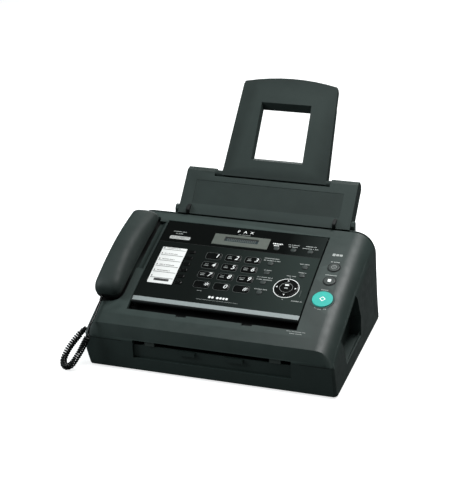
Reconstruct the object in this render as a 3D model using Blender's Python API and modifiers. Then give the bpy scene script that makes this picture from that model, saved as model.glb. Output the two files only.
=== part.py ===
"""Desktop fax machine with a corded handset, a sloping operation panel and a reclined paper support.

Metres, +Z up, +X to the operator's right, the front face towards -Y. Everything is modelled in a
bench frame whose Y runs back from the front face, and hangs from one empty that puts the origin
under the middle of the machine, on the surface that it stands on.
"""
import math

import bmesh
import bpy
from mathutils import Matrix, Vector

# ---------------------------------------------------------------- driving dimensions
HALF_WIDTH = 0.2175          # half the width of the housing
BASE_DEPTH = 0.303           # front face to rear wall
FOOT_HEIGHT = 0.003
WALL = 0.0025                # moulded shell thickness
GAP = 0.0004                 # clearance between pieces that meet
SEAM_FRONT_Z = 0.0535        # where the top cover meets the base at the front
LIP_Y, LIP_Z = 0.0104, 0.077        # front top edge of the cover
CREST_Y, CREST_Z = 0.276, 0.1696    # rear top edge of the cover
TOP_BULGE = 0.006            # how far the sloping top stands above its chord
EDGE_RIGHT = (0.036, 0.035)  # width and height of the rounded right edge of the top
EDGE_LEFT = (0.022, 0.020)   # the same on the left
RIGHT_DRAFT = 0.0045         # the right wall leans in by this much
LEFT_UNDERCUT = 0.006        # the left wall leans in below LEFT_UNDERCUT_Z
LEFT_UNDERCUT_Z = 0.026

PANEL_X = (-0.1545, 0.1367)
PANEL_Y = (0.0609, 0.2526)
PANEL_RISE = 0.0012
PANEL_THICKNESS = 0.006
LIP_DEPTH = 0.0105           # front to back size of the silver lip
POCKET_X = (-0.1568, 0.1390)
POCKET_Y = (0.0434, 0.2560)
POCKET_DEPTH = 0.017         # document path under the panel

KEY_PITCH_X = 0.035
KEY_PITCH_Y = 0.022
DIAL_X, DIAL_Y = -0.011, 0.111     # middle column, front row
KEY_SIZE = (0.026, 0.0132)
KEY_TRAVEL = 0.0012
SMALL_KEY_R = 0.0046
NAV = (0.0985, 0.1243, 0.0202)     # x, y, radius
START = (0.1643, 0.1109, 0.0175)
STOP = (0.1645, 0.1834, 0.0098)
COPY = (0.1650, 0.1522, 0.0098)
ONE_TOUCH_X, ONE_TOUCH_Y, ONE_TOUCH_PITCH = -0.0877, 0.1090, 0.0143
ONE_TOUCH_SIZE = (0.0125, 0.0066)
DISPLAY_X, DISPLAY_Y = (-0.0612, 0.0395), (0.2066, 0.2330)
SCREEN_X, SCREEN_Y = (-0.0415, 0.0200), (0.2165, 0.2273)
CARD_X, CARD_Y = (-0.1418, -0.0970), (0.1014, 0.1850)

TRAY_X = (-0.149, 0.167)
TRAY_PIVOT = (0.2918, 0.1759)      # y, z
TRAY_RECLINE = math.radians(45.0)
TRAY_SPAN = (-0.012, 0.0830)       # below and above the pivot, along the plate
TRAY_WALL_DEPTH = 0.018            # end walls, behind the plate
TRAY_WALL_START = -0.002
TRAY_THICKNESS = 0.012
NOTCH_X = (-0.0965, 0.1170)
NOTCH_DEPTH = 0.0185
SUPPORT_X = 0.013
SUPPORT_RECLINE = math.radians(40.3)
SUPPORT_LENGTH = 0.184
SUPPORT_HALF = (0.0965, 0.0880)    # half width at the hinge and at the top
SUPPORT_ARCH = 0.010
SUPPORT_THICKNESS = 0.012

HANDSET_X = -0.1980
HANDSET_YAW = math.radians(-0.75)   # the front end stands a little further out
HANDSET_Y = (0.0580, 0.2520)
HANDSET_WIDTH = 0.049
CRADLE_X = (-0.2172, -0.1722)
CRADLE_Y = (0.0545, 0.2620)
CRADLE_DEPTH = 0.0090
SCOOP_Y = (0.1280, 0.2480)
SCOOP_RADIUS = 0.0160
SCOOP_DEPTH = 0.0060

SLOT_X = (-0.1310, 0.1415)
SLOT_Z = (0.0475, 0.0568)
RECESS_Z = (0.0245, 0.0568)
RECESS_DEPTH = 0.005

TOP_SLOPE = (CREST_Z - LIP_Z) / (CREST_Y - LIP_Y)
CHORD = math.atan(TOP_SLOPE)
SUPPORT_TOP = SUPPORT_LENGTH + SUPPORT_ARCH

# ---------------------------------------------------------------- scene and materials


def clear_scene():
    for old in list(bpy.data.objects):
        bpy.data.objects.remove(old, do_unlink=True)


def new_collection(name):
    made = bpy.data.collections.new(name)
    bpy.context.scene.collection.children.link(made)
    return made


def material(name, colour, roughness, metallic=0.0):
    made = bpy.data.materials.new(name)
    made.use_nodes = True
    shader = made.node_tree.nodes["Principled BSDF"]
    shader.inputs["Base Color"].default_value = (*colour, 1.0)
    shader.inputs["Roughness"].default_value = roughness
    shader.inputs["Metallic"].default_value = metallic
    return made


clear_scene()
PARTS = new_collection("fax_machine")
CUTTERS = new_collection("cutters")

MATERIALS = {
    "housing": material("housing", (0.050, 0.062, 0.058), 0.50),
    "cover": material("cover", (0.055, 0.068, 0.063), 0.48),
    "gloss": material("gloss", (0.010, 0.012, 0.012), 0.10),
    "silver": material("silver", (0.36, 0.39, 0.39), 0.35, 0.6),
    "display": material("display", (0.26, 0.28, 0.26), 0.40),
    "card": material("card", (0.80, 0.80, 0.78), 0.45),
    "key": material("key", (0.012, 0.014, 0.014), 0.30),
    "grey_key": material("grey_key", (0.10, 0.11, 0.11), 0.40),
    "start_key": material("start_key", (0.03, 0.55, 0.42), 0.30),
    "handset": material("handset", (0.050, 0.062, 0.058), 0.42),
    "handset_dark": material("handset_dark", (0.015, 0.018, 0.018), 0.45),
    "cord": material("cord", (0.018, 0.020, 0.020), 0.40),
    "rubber": material("rubber", (0.020, 0.020, 0.020), 0.80),
    "engine": material("engine", (0.09, 0.09, 0.10), 0.50),
    "roller": material("roller", (0.030, 0.030, 0.035), 0.70),
    "socket": material("socket", (0.020, 0.020, 0.022), 0.50),
}

# ---------------------------------------------------------------- shape helpers


def top_z(y):
    """Height of the sloping top of the machine at depth y."""
    t = (y - LIP_Y) / (CREST_Y - LIP_Y)
    return LIP_Z + (y - LIP_Y) * TOP_SLOPE + 4.0 * TOP_BULGE * t * (1.0 - t)


def top_angle(y):
    """Slope of the top at depth y, in radians."""
    t = (y - LIP_Y) / (CREST_Y - LIP_Y)
    return math.atan(TOP_SLOPE + 4.0 * TOP_BULGE * (1.0 - 2.0 * t) / (CREST_Y - LIP_Y))


def spread(low, high, count):
    """count evenly spaced values from low to high."""
    return [low + (high - low) * i / (count - 1) for i in range(count)]


def top_run(y_low, y_high, offset, count):
    """Points (y, z) that follow the sloping top between two depths, offset above it."""
    return [(y, top_z(y) + offset) for y in spread(y_low, y_high, count)]


def rounded_outline(width, height, radius, steps=3):
    """Corner-rounded rectangle about the origin, anticlockwise."""
    points = []
    for corner, (sx, sy) in enumerate(((1, 1), (-1, 1), (-1, -1), (1, -1))):
        cx = sx * (width / 2 - radius)
        cy = sy * (height / 2 - radius)
        for step in range(steps + 1):
            turn = math.pi / 2 * (corner + step / steps)
            points.append((cx + radius * math.cos(turn), cy + radius * math.sin(turn)))
    return points


def circle_outline(radius, count):
    return [(radius * math.cos(math.tau * i / count), radius * math.sin(math.tau * i / count))
            for i in range(count)]


def link(name, mesh_bm, slot, collection=None, smooth=35.0):
    """Turn a bmesh into a named object, in the parts or the cutters collection."""
    bmesh.ops.recalc_face_normals(mesh_bm, faces=mesh_bm.faces)
    mesh = bpy.data.meshes.new(name)
    mesh_bm.to_mesh(mesh)
    mesh_bm.free()
    made = bpy.data.objects.new(name, mesh)
    (collection or PARTS).objects.link(made)
    if slot:
        mesh.materials.append(MATERIALS[slot])
        mesh.shade_smooth()
        mesh.set_sharp_from_angle(angle=math.radians(smooth))
    else:
        made.hide_render = True
        made.display_type = "WIRE"
    return made


def prism(name, outline, axis, low, high, slot=None):
    """Solid made by pushing a flat outline along X ((y, z) points) or Z ((x, y) points)."""
    build = bmesh.new()
    if axis == "X":
        corners = [build.verts.new((low, a, b)) for a, b in outline]
        push = Vector((high - low, 0.0, 0.0))
    else:
        corners = [build.verts.new((a, b, low)) for a, b in outline]
        push = Vector((0.0, 0.0, high - low))
    face = build.faces.new(corners)
    grown = bmesh.ops.extrude_face_region(build, geom=[face])
    moved = [item for item in grown["geom"] if isinstance(item, bmesh.types.BMVert)]
    bmesh.ops.translate(build, verts=moved, vec=push)
    return link(name, build, slot, None if slot else CUTTERS)


def box(name, low, high, slot=None):
    """Axis-aligned box between two corners."""
    outline = [(low[0], low[1]), (high[0], low[1]), (high[0], high[1]), (low[0], high[1])]
    return prism(name, outline, "Z", low[2], high[2], slot)


def cylinder(name, start, end, radius, slot=None, segments=16):
    """Solid round bar between two points."""
    start, end = Vector(start), Vector(end)
    run = end - start
    build = bmesh.new()
    bmesh.ops.create_cone(build, cap_ends=True, segments=segments, radius1=radius,
                          radius2=radius, depth=run.length)
    turn = Vector((0, 0, 1)).rotation_difference(run).to_matrix().to_4x4()
    place = Matrix.Translation((start + end) / 2) @ turn
    bmesh.ops.transform(build, matrix=place, verts=build.verts)
    return link(name, build, slot, None if slot else CUTTERS)


def loft(name, rings, slot=None):
    """Closed solid through rings that have the same number of points."""
    build = bmesh.new()
    rows = [[build.verts.new(point) for point in ring] for ring in rings]
    for near, far in zip(rows, rows[1:]):
        for i in range(len(near)):
            j = (i + 1) % len(near)
            build.faces.new((near[i], near[j], far[j], far[i]))
    build.faces.new(rows[0])
    build.faces.new(rows[-1])
    return link(name, build, slot, None if slot else CUTTERS)


def boolean(target, cutter, operation):
    """Apply one exact Boolean to target's mesh; the cutter stays hidden in its collection."""
    bpy.context.view_layer.update()
    step = target.modifiers.new(operation.lower(), "BOOLEAN")
    step.operation = operation
    step.solver = "EXACT"
    step.object = cutter
    graph = bpy.context.evaluated_depsgraph_get()
    result = bpy.data.meshes.new_from_object(target.evaluated_get(graph))
    target.modifiers.remove(step)
    old = target.data
    target.data = result
    result.name = target.name
    bpy.data.meshes.remove(old)
    tidy = bmesh.new()
    tidy.from_mesh(result)
    bmesh.ops.remove_doubles(tidy, verts=tidy.verts, dist=2e-6)
    bmesh.ops.dissolve_degenerate(tidy, edges=tidy.edges, dist=2e-6)
    tidy.to_mesh(result)
    tidy.free()
    if result.materials:
        result.shade_smooth()
        result.set_sharp_from_angle(angle=math.radians(35.0))


def cut(target, *cutters):
    for cutter in cutters:
        boolean(target, cutter, "DIFFERENCE")


def keep(target, cutter):
    boolean(target, cutter, "INTERSECT")


def join(target, *pieces):
    """Union extra solids into target and drop them."""
    for piece in pieces:
        boolean(target, piece, "UNION")
        bpy.data.objects.remove(piece, do_unlink=True)


def soften(target, width, segments=2, angle=35.0):
    """Round the edges of a moulded piece."""
    bevel = target.modifiers.new("rounded_edges", "BEVEL")
    bevel.width = width
    bevel.segments = segments
    bevel.limit_method = "ANGLE"
    bevel.angle_limit = math.radians(angle)
    return target


def on_top(made, x, y, lift=0.0):
    """Stand an object on the sloping top at (x, y), turned to the local slope."""
    tilt = top_angle(y)
    made.location = (x, y - lift * math.sin(tilt), top_z(y) + lift * math.cos(tilt))
    made.rotation_euler = (tilt, 0.0, 0.0)
    return made


# ---------------------------------------------------------------- the outer form of the machine


def crown_z(y):
    """Top of the whole body: leaning front face, sloping top, then the rear deck."""
    if y < LIP_Y:
        t = y / LIP_Y
        return SEAM_FRONT_Z + 0.002 + (LIP_Z - SEAM_FRONT_Z - 0.002) * t ** 0.92
    if y <= CREST_Y + 0.004:
        return top_z(y)
    t = (y - CREST_Y - 0.004) / (BASE_DEPTH - CREST_Y - 0.004)
    crest = top_z(CREST_Y + 0.004)
    return crest - 0.004 - 0.026 * t ** 2.2


def corner_tuck(y, radius):
    """How far a side wall has come in at depth y, round a rear corner."""
    into = max(0.0, radius - (BASE_DEPTH - y))
    return radius - math.sqrt(max(0.0, radius * radius - into * into))


def body_ring(y, inset):
    """Outline of the body at depth y, drawn inset by a wall thickness."""
    front = max(0.0, 1.0 - y / 0.007)
    tuck = 0.005 * front ** 2 + corner_tuck(y, 0.009) + inset
    tuck_high = 0.005 * front ** 2 + corner_tuck(y, 0.020) + inset
    crown = crown_z(y) - inset
    bottom = FOOT_HEIGHT + inset
    room = max(0.0008, min(1.0, (crown - bottom - 0.028) / 0.030))
    if y < LIP_Y:
        room = max(0.03, min(room, y / LIP_Y))
    arc_right = (EDGE_RIGHT[0] * (0.5 + 0.5 * room), min(EDGE_RIGHT[1], crown - bottom - 0.022) * room)
    arc_left = (EDGE_LEFT[0], EDGE_LEFT[1] * room)
    right_low = HALF_WIDTH - tuck
    right_top = HALF_WIDTH - RIGHT_DRAFT - tuck_high
    left_low = -HALF_WIDTH + LEFT_UNDERCUT + tuck
    left_top = -HALF_WIDTH + tuck_high
    ring = [(left_low, bottom), (right_low, bottom)]
    for i in range(9):
        turn = math.pi / 2 * i / 8
        ring.append((right_top - arc_right[0] * (1 - math.cos(turn)),
                     crown - arc_right[1] * (1 - math.sin(turn))))
    for i in range(6):
        turn = math.pi / 2 * (1 - i / 5)
        ring.append((left_top + arc_left[0] * (1 - math.cos(turn)),
                     crown - arc_left[1] * (1 - math.sin(turn))))
    ring.append((-HALF_WIDTH + tuck, LEFT_UNDERCUT_Z))
    return [(x, y, z) for x, z in ring]


def body_form(name, inset, slot=None):
    """The machine's closed outer form, or its inner one."""
    stations = [0.0, 0.0015, 0.0045, 0.0080, LIP_Y, 0.0135, 0.030]
    stations += spread(0.055, 0.255, 9)
    stations += [CREST_Y, CREST_Y + 0.004, CREST_Y + 0.0042, 0.286, 0.291, 0.2955, 0.2990, 0.3015, 0.3026, BASE_DEPTH]
    low, high = inset, BASE_DEPTH - inset
    inside = [y for y in stations if low < y < high]
    return loft(name, [body_ring(y, inset) for y in [low] + inside + [high]], slot)


SEAM = [(-0.02, SEAM_FRONT_Z), (0.006, SEAM_FRONT_Z), (0.030, 0.0690), (0.061, 0.0812),
        (0.157, 0.1165), (0.228, 0.1385), (0.262, 0.1440), (0.3200, 0.1440)]
GROOVE_TOP, GROOVE_BOTTOM = (0.2360, 0.1400), (0.2660, 0.0200)
REAR_FLOOR_Z = 0.0200
COVER_REAR_Y = 0.2762


def above_seam(name, offset):
    outline = [(y, z + offset) for y, z in SEAM]
    return prism(name, outline + [(0.3200, 0.300), (-0.02, 0.300)], "X", -0.30, 0.30)


def rear_region(name, offset):
    """Everything behind the slanting side groove, grown forward by offset."""
    outline = [(GROOVE_BOTTOM[0] - offset, REAR_FLOOR_Z - offset), (0.33, REAR_FLOOR_Z - offset),
               (0.33, 0.30), (COVER_REAR_Y + 0.002 - offset, 0.30),
               (COVER_REAR_Y + 0.002 - offset, 0.144 - offset), (0.262, 0.144 - offset),
               (GROOVE_TOP[0] - offset, GROOVE_TOP[1])]
    return prism(name, outline, "X", -0.30, 0.30)


# ---------------------------------------------------------------- housing


def pocket_tub(name, xs, ys, depth):
    """Block that follows the underside of the top, for a pocket to be sunk in."""
    roof = top_run(ys[0], ys[1], -0.0008, 7)
    floor = top_run(ys[0], ys[1], -depth, 7)
    return prism(name, floor + roof[::-1], "X", xs[0], xs[1], "cover")


def top_pocket(name, xs, ys, depth, count=7):
    """Cutter that sinks a pocket of the given depth into the sloping top."""
    roof = top_run(ys[0], ys[1], 0.030, count)
    floor = top_run(ys[0], ys[1], -depth, count)
    return prism(name, floor + roof[::-1], "X", xs[0], xs[1])


def surface_hole(name, outline, x, y, low=-0.030, high=0.012):
    """Cutter square to the sloping top at (x, y)."""
    return on_top(prism(name, outline, "Z", low, high), x, y)


def side_recess_outline(grow):
    """Hand recess in the right wall, (y, z) points, optionally grown by a wall."""
    points = [(0.0550, 0.0755), (0.0730, 0.0250), (0.1680, 0.0300), (0.1715, 0.0630), (0.1520, 0.1115)]
    middle_y = sum(y for y, z in points) / len(points)
    middle_z = sum(z for y, z in points) / len(points)
    grown = []
    for y, z in points:
        away = Vector((y - middle_y, z - middle_z))
        grown.append((y + away.x / away.length * grow, z + away.y / away.length * grow))
    return grown


def make_base_housing():
    base = body_form("base_housing", 0.0, "housing")
    cut(base, above_seam("base_seam_cut", -GAP / 2), rear_region("base_rear_cut", GAP / 2))
    cut(base, body_form("base_inside", WALL))
    backing = box("slot_backing", (SLOT_X[0] - 0.003, 0.0008, RECESS_Z[0] - 0.003),
                  (SLOT_X[1] + 0.003, RECESS_DEPTH + WALL, SEAM_FRONT_Z - GAP), "housing")
    recess_wall = prism("recess_wall", side_recess_outline(0.0032), "X", 0.1935, 0.2135, "housing")
    join(base, backing)
    keep(recess_wall, body_form("recess_limit", 0.0004))
    cut(recess_wall, above_seam("recess_seam_cut", -GAP / 2))
    join(base, recess_wall)
    for side, x in (("left", SLOT_X[0] - 0.0065), ("right", SLOT_X[1] + 0.0035)):
        bracket = box(side + "_roller_bracket", (x, 0.0240, 0.0040), (x + 0.003, 0.0400, 0.0735), "housing")
        join(base, bracket)
    bore = cylinder("roller_bore", (-0.16, ROLLER_Y, ROLLER_Z), (0.16, ROLLER_Y, ROLLER_Z), 0.0029)
    recess = box("front_recess_cut", (SLOT_X[0], -0.01, RECESS_Z[0]), (SLOT_X[1], RECESS_DEPTH, 0.070))
    slot = box("paper_slot_cut", (SLOT_X[0], -0.01, SLOT_Z[0]), (SLOT_X[1], 0.020, 0.070))
    hand = prism("hand_recess_cut", side_recess_outline(0.0), "X", 0.1960, 0.2400)
    cut(base, bore, recess, slot, hand)
    groove_low, groove_high = 0.0300, 0.0640
    groove_x = HALF_WIDTH - 0.0017
    rings = [[(groove_x, y, groove_low), (0.23, y, groove_low), (0.23, y, groove_high),
              (groove_x - 0.0030, y, groove_high)] for y in (0.0176, 0.0190)]
    cut(base, loft("front_groove_cut", rings))
    for x in TONGUE_X:
        tongue = box("paper_tongue", (x, 0.0012, 0.0392), (x + 0.030, RECESS_DEPTH + 0.001, 0.0462), "housing")
        join(base, tongue)
    return base


def make_top_cover():
    cover = body_form("top_cover", 0.0, "cover")
    keep(cover, above_seam("cover_seam_keep", GAP / 2))
    cut(cover, box("cover_rear_cut", (-0.3, COVER_REAR_Y, 0.0), (0.3, 0.4, 0.3)))
    cut(cover, body_form("cover_inside", WALL))
    wall = 0.002
    tub = pocket_tub("document_tub", (POCKET_X[0] - wall, POCKET_X[1] + wall),
                     (POCKET_Y[0] - wall, COVER_REAR_Y - 0.0004), POCKET_DEPTH + wall)
    cradle = pocket_tub("cradle_tub", (-HALF_WIDTH, CRADLE_X[1] + wall),
                        (CRADLE_Y[0] - wall, CRADLE_Y[1] + wall), CRADLE_DEPTH + wall)
    keep(cradle, body_form("cradle_limit", 0.0003))
    backing = finger_scoop("scoop_backing", 0.0020)
    keep(backing, body_form("scoop_limit", 0.0003))
    join(cover, tub, cradle, backing)
    for side, x in (("left", FEED_X[0] - 0.0035), ("right", FEED_X[1] + 0.0005)):
        lug = box(side + "_feed_lug", (x, -0.0060, -0.0285), (x + 0.003, 0.0060, -POCKET_DEPTH - 0.0005),
                  "cover")
        join(cover, on_top(lug, 0.0, FEED_Y))
    cut(cover, top_pocket("document_pocket", POCKET_X, POCKET_Y, POCKET_DEPTH, 9))
    tunnel_low = top_run(POCKET_Y[1] - 0.004, 0.30, -POCKET_DEPTH, 2)
    tunnel_high = top_run(POCKET_Y[1] - 0.004, 0.30, -0.0060, 2)
    cut(cover, prism("document_tunnel", tunnel_low + tunnel_high[::-1], "X", -0.1300, 0.1300))
    cut(cover, cradle_cutter())
    cut(cover, finger_scoop("finger_scoop", 0.0))
    for name, (x, y, radius) in (("start", START), ("stop", STOP), ("copy", COPY)):
        cut(cover, surface_hole(name + "_hole", circle_outline(radius + GAP, 28), x, y, -0.012))
    cut(cover, surface_hole("hook_hole", rounded_outline(0.0088, 0.0128, 0.001, 1), HANDSET_X, HOOK_Y))
    panel_bore = cylinder("panel_bore", (POCKET_X[0] - 0.0017, 0, -PANEL_HINGE_DROP),
                          (POCKET_X[1] + 0.0017, 0, -PANEL_HINGE_DROP), 0.0020, segments=10)
    cut(cover, on_top(panel_bore, 0.0, PANEL_HINGE_Y))
    feed_axis = cylinder("feed_bore", (-0.13, 0.0, -FEED_DROP), (0.13, 0.0, -FEED_DROP), 0.0029)
    feed_slot = box("feed_slot", (FEED_X[0], -0.0080, -0.0260), (FEED_X[1], 0.0080, 0.0))
    sensor_slot = box("sensor_slot", (SENSOR_X[0] - GAP, -0.0094, -0.0260), (SENSOR_X[1] + GAP, 0.0094, 0.0))
    cut(cover, on_top(feed_axis, 0.0, FEED_Y), on_top(feed_slot, 0.0, FEED_Y))
    cut(cover, on_top(sensor_slot, 0.0, SENSOR_Y))
    cut(cover, box("exit_slot_relief", (SLOT_X[0], -0.01, 0.04), (SLOT_X[1], 0.0200, SLOT_Z[1])))
    for x in (-0.0595 - 0.0090, 0.0550 - 0.0090):
        cut(cover, top_pocket("ledge_notch", (x, x + 0.018), (0.0385, 0.0450), 0.0030, 2))
    return cover


def finger_scoop(name, grow):
    """Round hollow beside the handset, where fingers get under it, optionally grown by a wall."""
    near, far = SCOOP_Y[0] - grow, SCOOP_Y[1] + grow
    return cylinder(name, (CRADLE_X[1], near, top_z(SCOOP_Y[0]) + SCOOP_RADIUS - SCOOP_DEPTH),
                    (CRADLE_X[1], far, top_z(SCOOP_Y[1]) + SCOOP_RADIUS - SCOOP_DEPTH), SCOOP_RADIUS + grow, segments=28)


def cradle_cutter():
    """Pocket that the handset lies in, with a round front end and an open left side."""
    width = CRADLE_X[1] - (-HALF_WIDTH - 0.010)
    radius = 0.0215
    outline = [(-HALF_WIDTH - 0.010, CRADLE_Y[1]), (-HALF_WIDTH - 0.010, CRADLE_Y[0])]
    for i in range(9):
        turn = -math.pi / 2 + math.pi / 2 * i / 8
        outline.append((CRADLE_X[1] - radius + radius * math.cos(turn),
                        CRADLE_Y[0] + radius + radius * math.sin(turn)))
    for i in range(4):
        turn = math.pi / 2 * i / 3
        outline.append((CRADLE_X[1] - 0.006 + 0.006 * math.cos(turn),
                        CRADLE_Y[1] - 0.006 + 0.006 * math.sin(turn)))
    well = prism("cradle_well", outline, "Z", 0.0, 0.30)
    floor = prism("cradle_floor", top_run(0.0, 0.30, -CRADLE_DEPTH, 13) + [(0.30, 0.40), (0.0, 0.40)],
                  "X", -HALF_WIDTH - 0.020, CRADLE_X[1] + width)
    keep(well, floor)
    return well


def make_rear_housing():
    rear = body_form("rear_housing", 0.0, "housing")
    keep(rear, rear_region("rear_keep", -GAP / 2))
    cut(rear, body_form("rear_inside", WALL))
    paper_way = box("deck_slot", (TRAY_X[0] - 0.0004, 0.2700, 0.140), (TRAY_X[1] + 0.0004, 0.2930, 0.20))
    cut(rear, paper_way)
    inlet = box("inlet_hole", (INLET[0] - 0.0140, 0.290, INLET[1] - 0.0100),
                (INLET[0] + 0.0140, 0.310, INLET[1] + 0.0100))
    jacks = box("jack_hole", (JACK[0] - 0.0170, 0.290, JACK[1] - 0.0085),
                (JACK[0] + 0.0170, 0.310, JACK[1] + 0.0085))
    cut(rear, inlet, jacks)
    for row in range(5):
        z = 0.070 + 0.009 * row
        cut(rear, box("rear_vent", (-0.1650, 0.290, z), (-0.0950, 0.310, z + 0.003)))
    for side, x in (("left", TRAY_X[0] - 0.0066), ("right", TRAY_X[1] + 0.0006)):
        ear_outline = [(0.2850, 0.156), (0.2975, 0.146), (0.2975, 0.1770), (0.2950, 0.1815),
                       (0.2885, 0.1815), (0.2850, 0.1760)]
        ear = prism(side + "_tray_ear", ear_outline, "X", x, x + 0.006, "housing")
        reach = 0.0045 if side == "left" else -0.0045
        start = x + 0.003
        pin = cylinder(side + "_tray_pin", (start, *TRAY_PIVOT), (start + 0.0030 * math.copysign(1, reach) + reach,
                       *TRAY_PIVOT), 0.0025, "housing", 12)
        join(rear, ear, pin)
    return rear


def make_feet():
    for name, x, y in (("foot_front_left", -0.185, 0.030), ("foot_front_right", 0.190, 0.030),
                       ("foot_rear_left", -0.185, 0.268), ("foot_rear_right", 0.190, 0.268)):
        soften(cylinder(name, (x, y, 0.0), (x, y, FOOT_HEIGHT - 0.0003), 0.008, "rubber", 20), 0.0006, 1)


def make_sockets():
    inlet = box("power_inlet", (INLET[0] - 0.0136, 0.2850, INLET[1] - 0.0096),
                (INLET[0] + 0.0136, 0.3026, INLET[1] + 0.0096), "socket")
    cut(inlet, box("inlet_cavity", (INLET[0] - 0.0110, 0.2890, INLET[1] - 0.0070),
                   (INLET[0] + 0.0110, 0.3100, INLET[1] + 0.0070)))
    for dx in (-0.005, 0.005):
        x = INLET[0] + dx
        join(inlet, cylinder("inlet_pin", (x, 0.2870, INLET[1]), (x, 0.2990, INLET[1]), 0.0012, "socket", 8))
    jack = box("line_jack", (JACK[0] - 0.0166, 0.2870, JACK[1] - 0.0081),
               (JACK[0] + 0.0166, 0.3026, JACK[1] + 0.0081), "socket")
    for dx in (-0.0080, 0.0080):
        x = JACK[0] + dx
        cut(jack, box("jack_cavity", (x - 0.0055, 0.2900, JACK[1] - 0.0050), (x + 0.0055, 0.31, JACK[1] + 0.0050)))


# ---------------------------------------------------------------- operation panel and keys


def make_operation_panel():
    y_front = PANEL_Y[0] + LIP_DEPTH + GAP
    roof = top_run(y_front, PANEL_Y[1], PANEL_RISE, 9)
    floor = top_run(y_front, PANEL_Y[1], PANEL_RISE - PANEL_THICKNESS, 5)
    panel = prism("operation_panel", floor + roof[::-1], "X", *PANEL_X, slot="gloss")
    bezel = [(0.0, 0.0)]
    middle_y = sum(DISPLAY_Y) / 2
    middle_x = sum(DISPLAY_X) / 2
    size = (DISPLAY_X[1] - DISPLAY_X[0] + 2 * GAP, (DISPLAY_Y[1] - DISPLAY_Y[0]) / math.cos(CHORD) + 2 * GAP)
    bezel = rounded_outline(size[0], size[1], 0.0012, 1)
    cut(panel, surface_hole("bezel_pocket", bezel, middle_x, middle_y, PANEL_RISE - 0.0022))
    for name, x, y, outline in key_plan():
        if y > PANEL_Y[0] and x < PANEL_X[1]:
            wide = [(a * (1 + 2 * GAP / KEY_SPAN[name]), b * (1 + 2 * GAP / KEY_SPAN[name])) for a, b in outline]
            cut(panel, surface_hole(name + "_hole", wide, x, y, -0.012))
    for side, x0, x1 in (("left", PANEL_X[0] + 0.004, POCKET_X[0] - 0.0014),
                         ("right", PANEL_X[1] - 0.004, POCKET_X[1] + 0.0014)):
        pin = cylinder(side + "_panel_pin", (x0, 0, -PANEL_HINGE_DROP), (x1, 0, -PANEL_HINGE_DROP), 0.0017, "gloss", 10)
        join(panel, on_top(pin, 0.0, PANEL_HINGE_Y))
    return panel


PANEL_HINGE_Y, PANEL_HINGE_DROP = 0.2496, 0.0024
KEY_SPAN = {}


def key_plan():
    """Every key on the sloping top: name, x, y and outline."""
    plan = []
    dial = (("star", "0", "hash"), ("7", "8", "9"), ("4", "5", "6"), ("1", "2", "3"))
    dial_outline = rounded_outline(*KEY_SIZE, 0.0035, 2)
    for row, names in enumerate(dial):
        for column, label in enumerate(names):
            plan.append(("dial_key_" + label, DIAL_X + KEY_PITCH_X * (column - 1),
                         DIAL_Y + KEY_PITCH_Y * row, dial_outline))
    small = circle_outline(SMALL_KEY_R, 16)
    for row, name in enumerate(("monitor_key", "redial_key", "flash_key", "hold_key")):
        plan.append((name, 0.0560, 0.1090 + KEY_PITCH_Y * row, small))
    for column, name in enumerate(("receive_mode_key", "caller_id_key", "quick_scan_key")):
        plan.append((name, 0.0556 + 0.0300 * column, 0.2125, small))
    plan.append(("lower_key", 0.1168, 0.1557, small))
    plan.append(("menu_key", 0.1165, 0.1747, small))
    touch = rounded_outline(*ONE_TOUCH_SIZE, 0.0015, 1)
    for row in range(6):
        plan.append(("one_touch_key_%d" % (6 - row), ONE_TOUCH_X, ONE_TOUCH_Y + ONE_TOUCH_PITCH * row, touch))
    plan.append(("navigator_key", NAV[0], NAV[1], circle_outline(NAV[2], 32)))
    plan.append(("start_key", START[0], START[1], circle_outline(START[2], 28)))
    plan.append(("stop_key", STOP[0], STOP[1], circle_outline(STOP[2], 24)))
    plan.append(("copy_key", COPY[0], COPY[1], circle_outline(COPY[2], 24)))
    for name, x, y, outline in plan:
        KEY_SPAN[name] = 2 * min(max(a for a, b in outline), max(b for a, b in outline))
    return plan


def make_keys():
    for name, x, y, outline in key_plan():
        slot = "key"
        if name == "start_key":
            slot = "start_key"
        elif name in ("stop_key", "copy_key") or outline is not None and len(outline) == 16:
            slot = "grey_key"
        on_panel = x < PANEL_X[1]
        rise = (PANEL_RISE if on_panel else 0.0) + KEY_RISE.get(name, 0.0014)
        key = prism(name, outline, "Z", -0.0036, rise, slot)
        on_top(key, x, y)
        soften(key, 0.0005, 1, 50.0)


KEY_RISE = {"navigator_key": 0.0018, "start_key": 0.0020, "stop_key": 0.0016, "copy_key": 0.0016}


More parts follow.
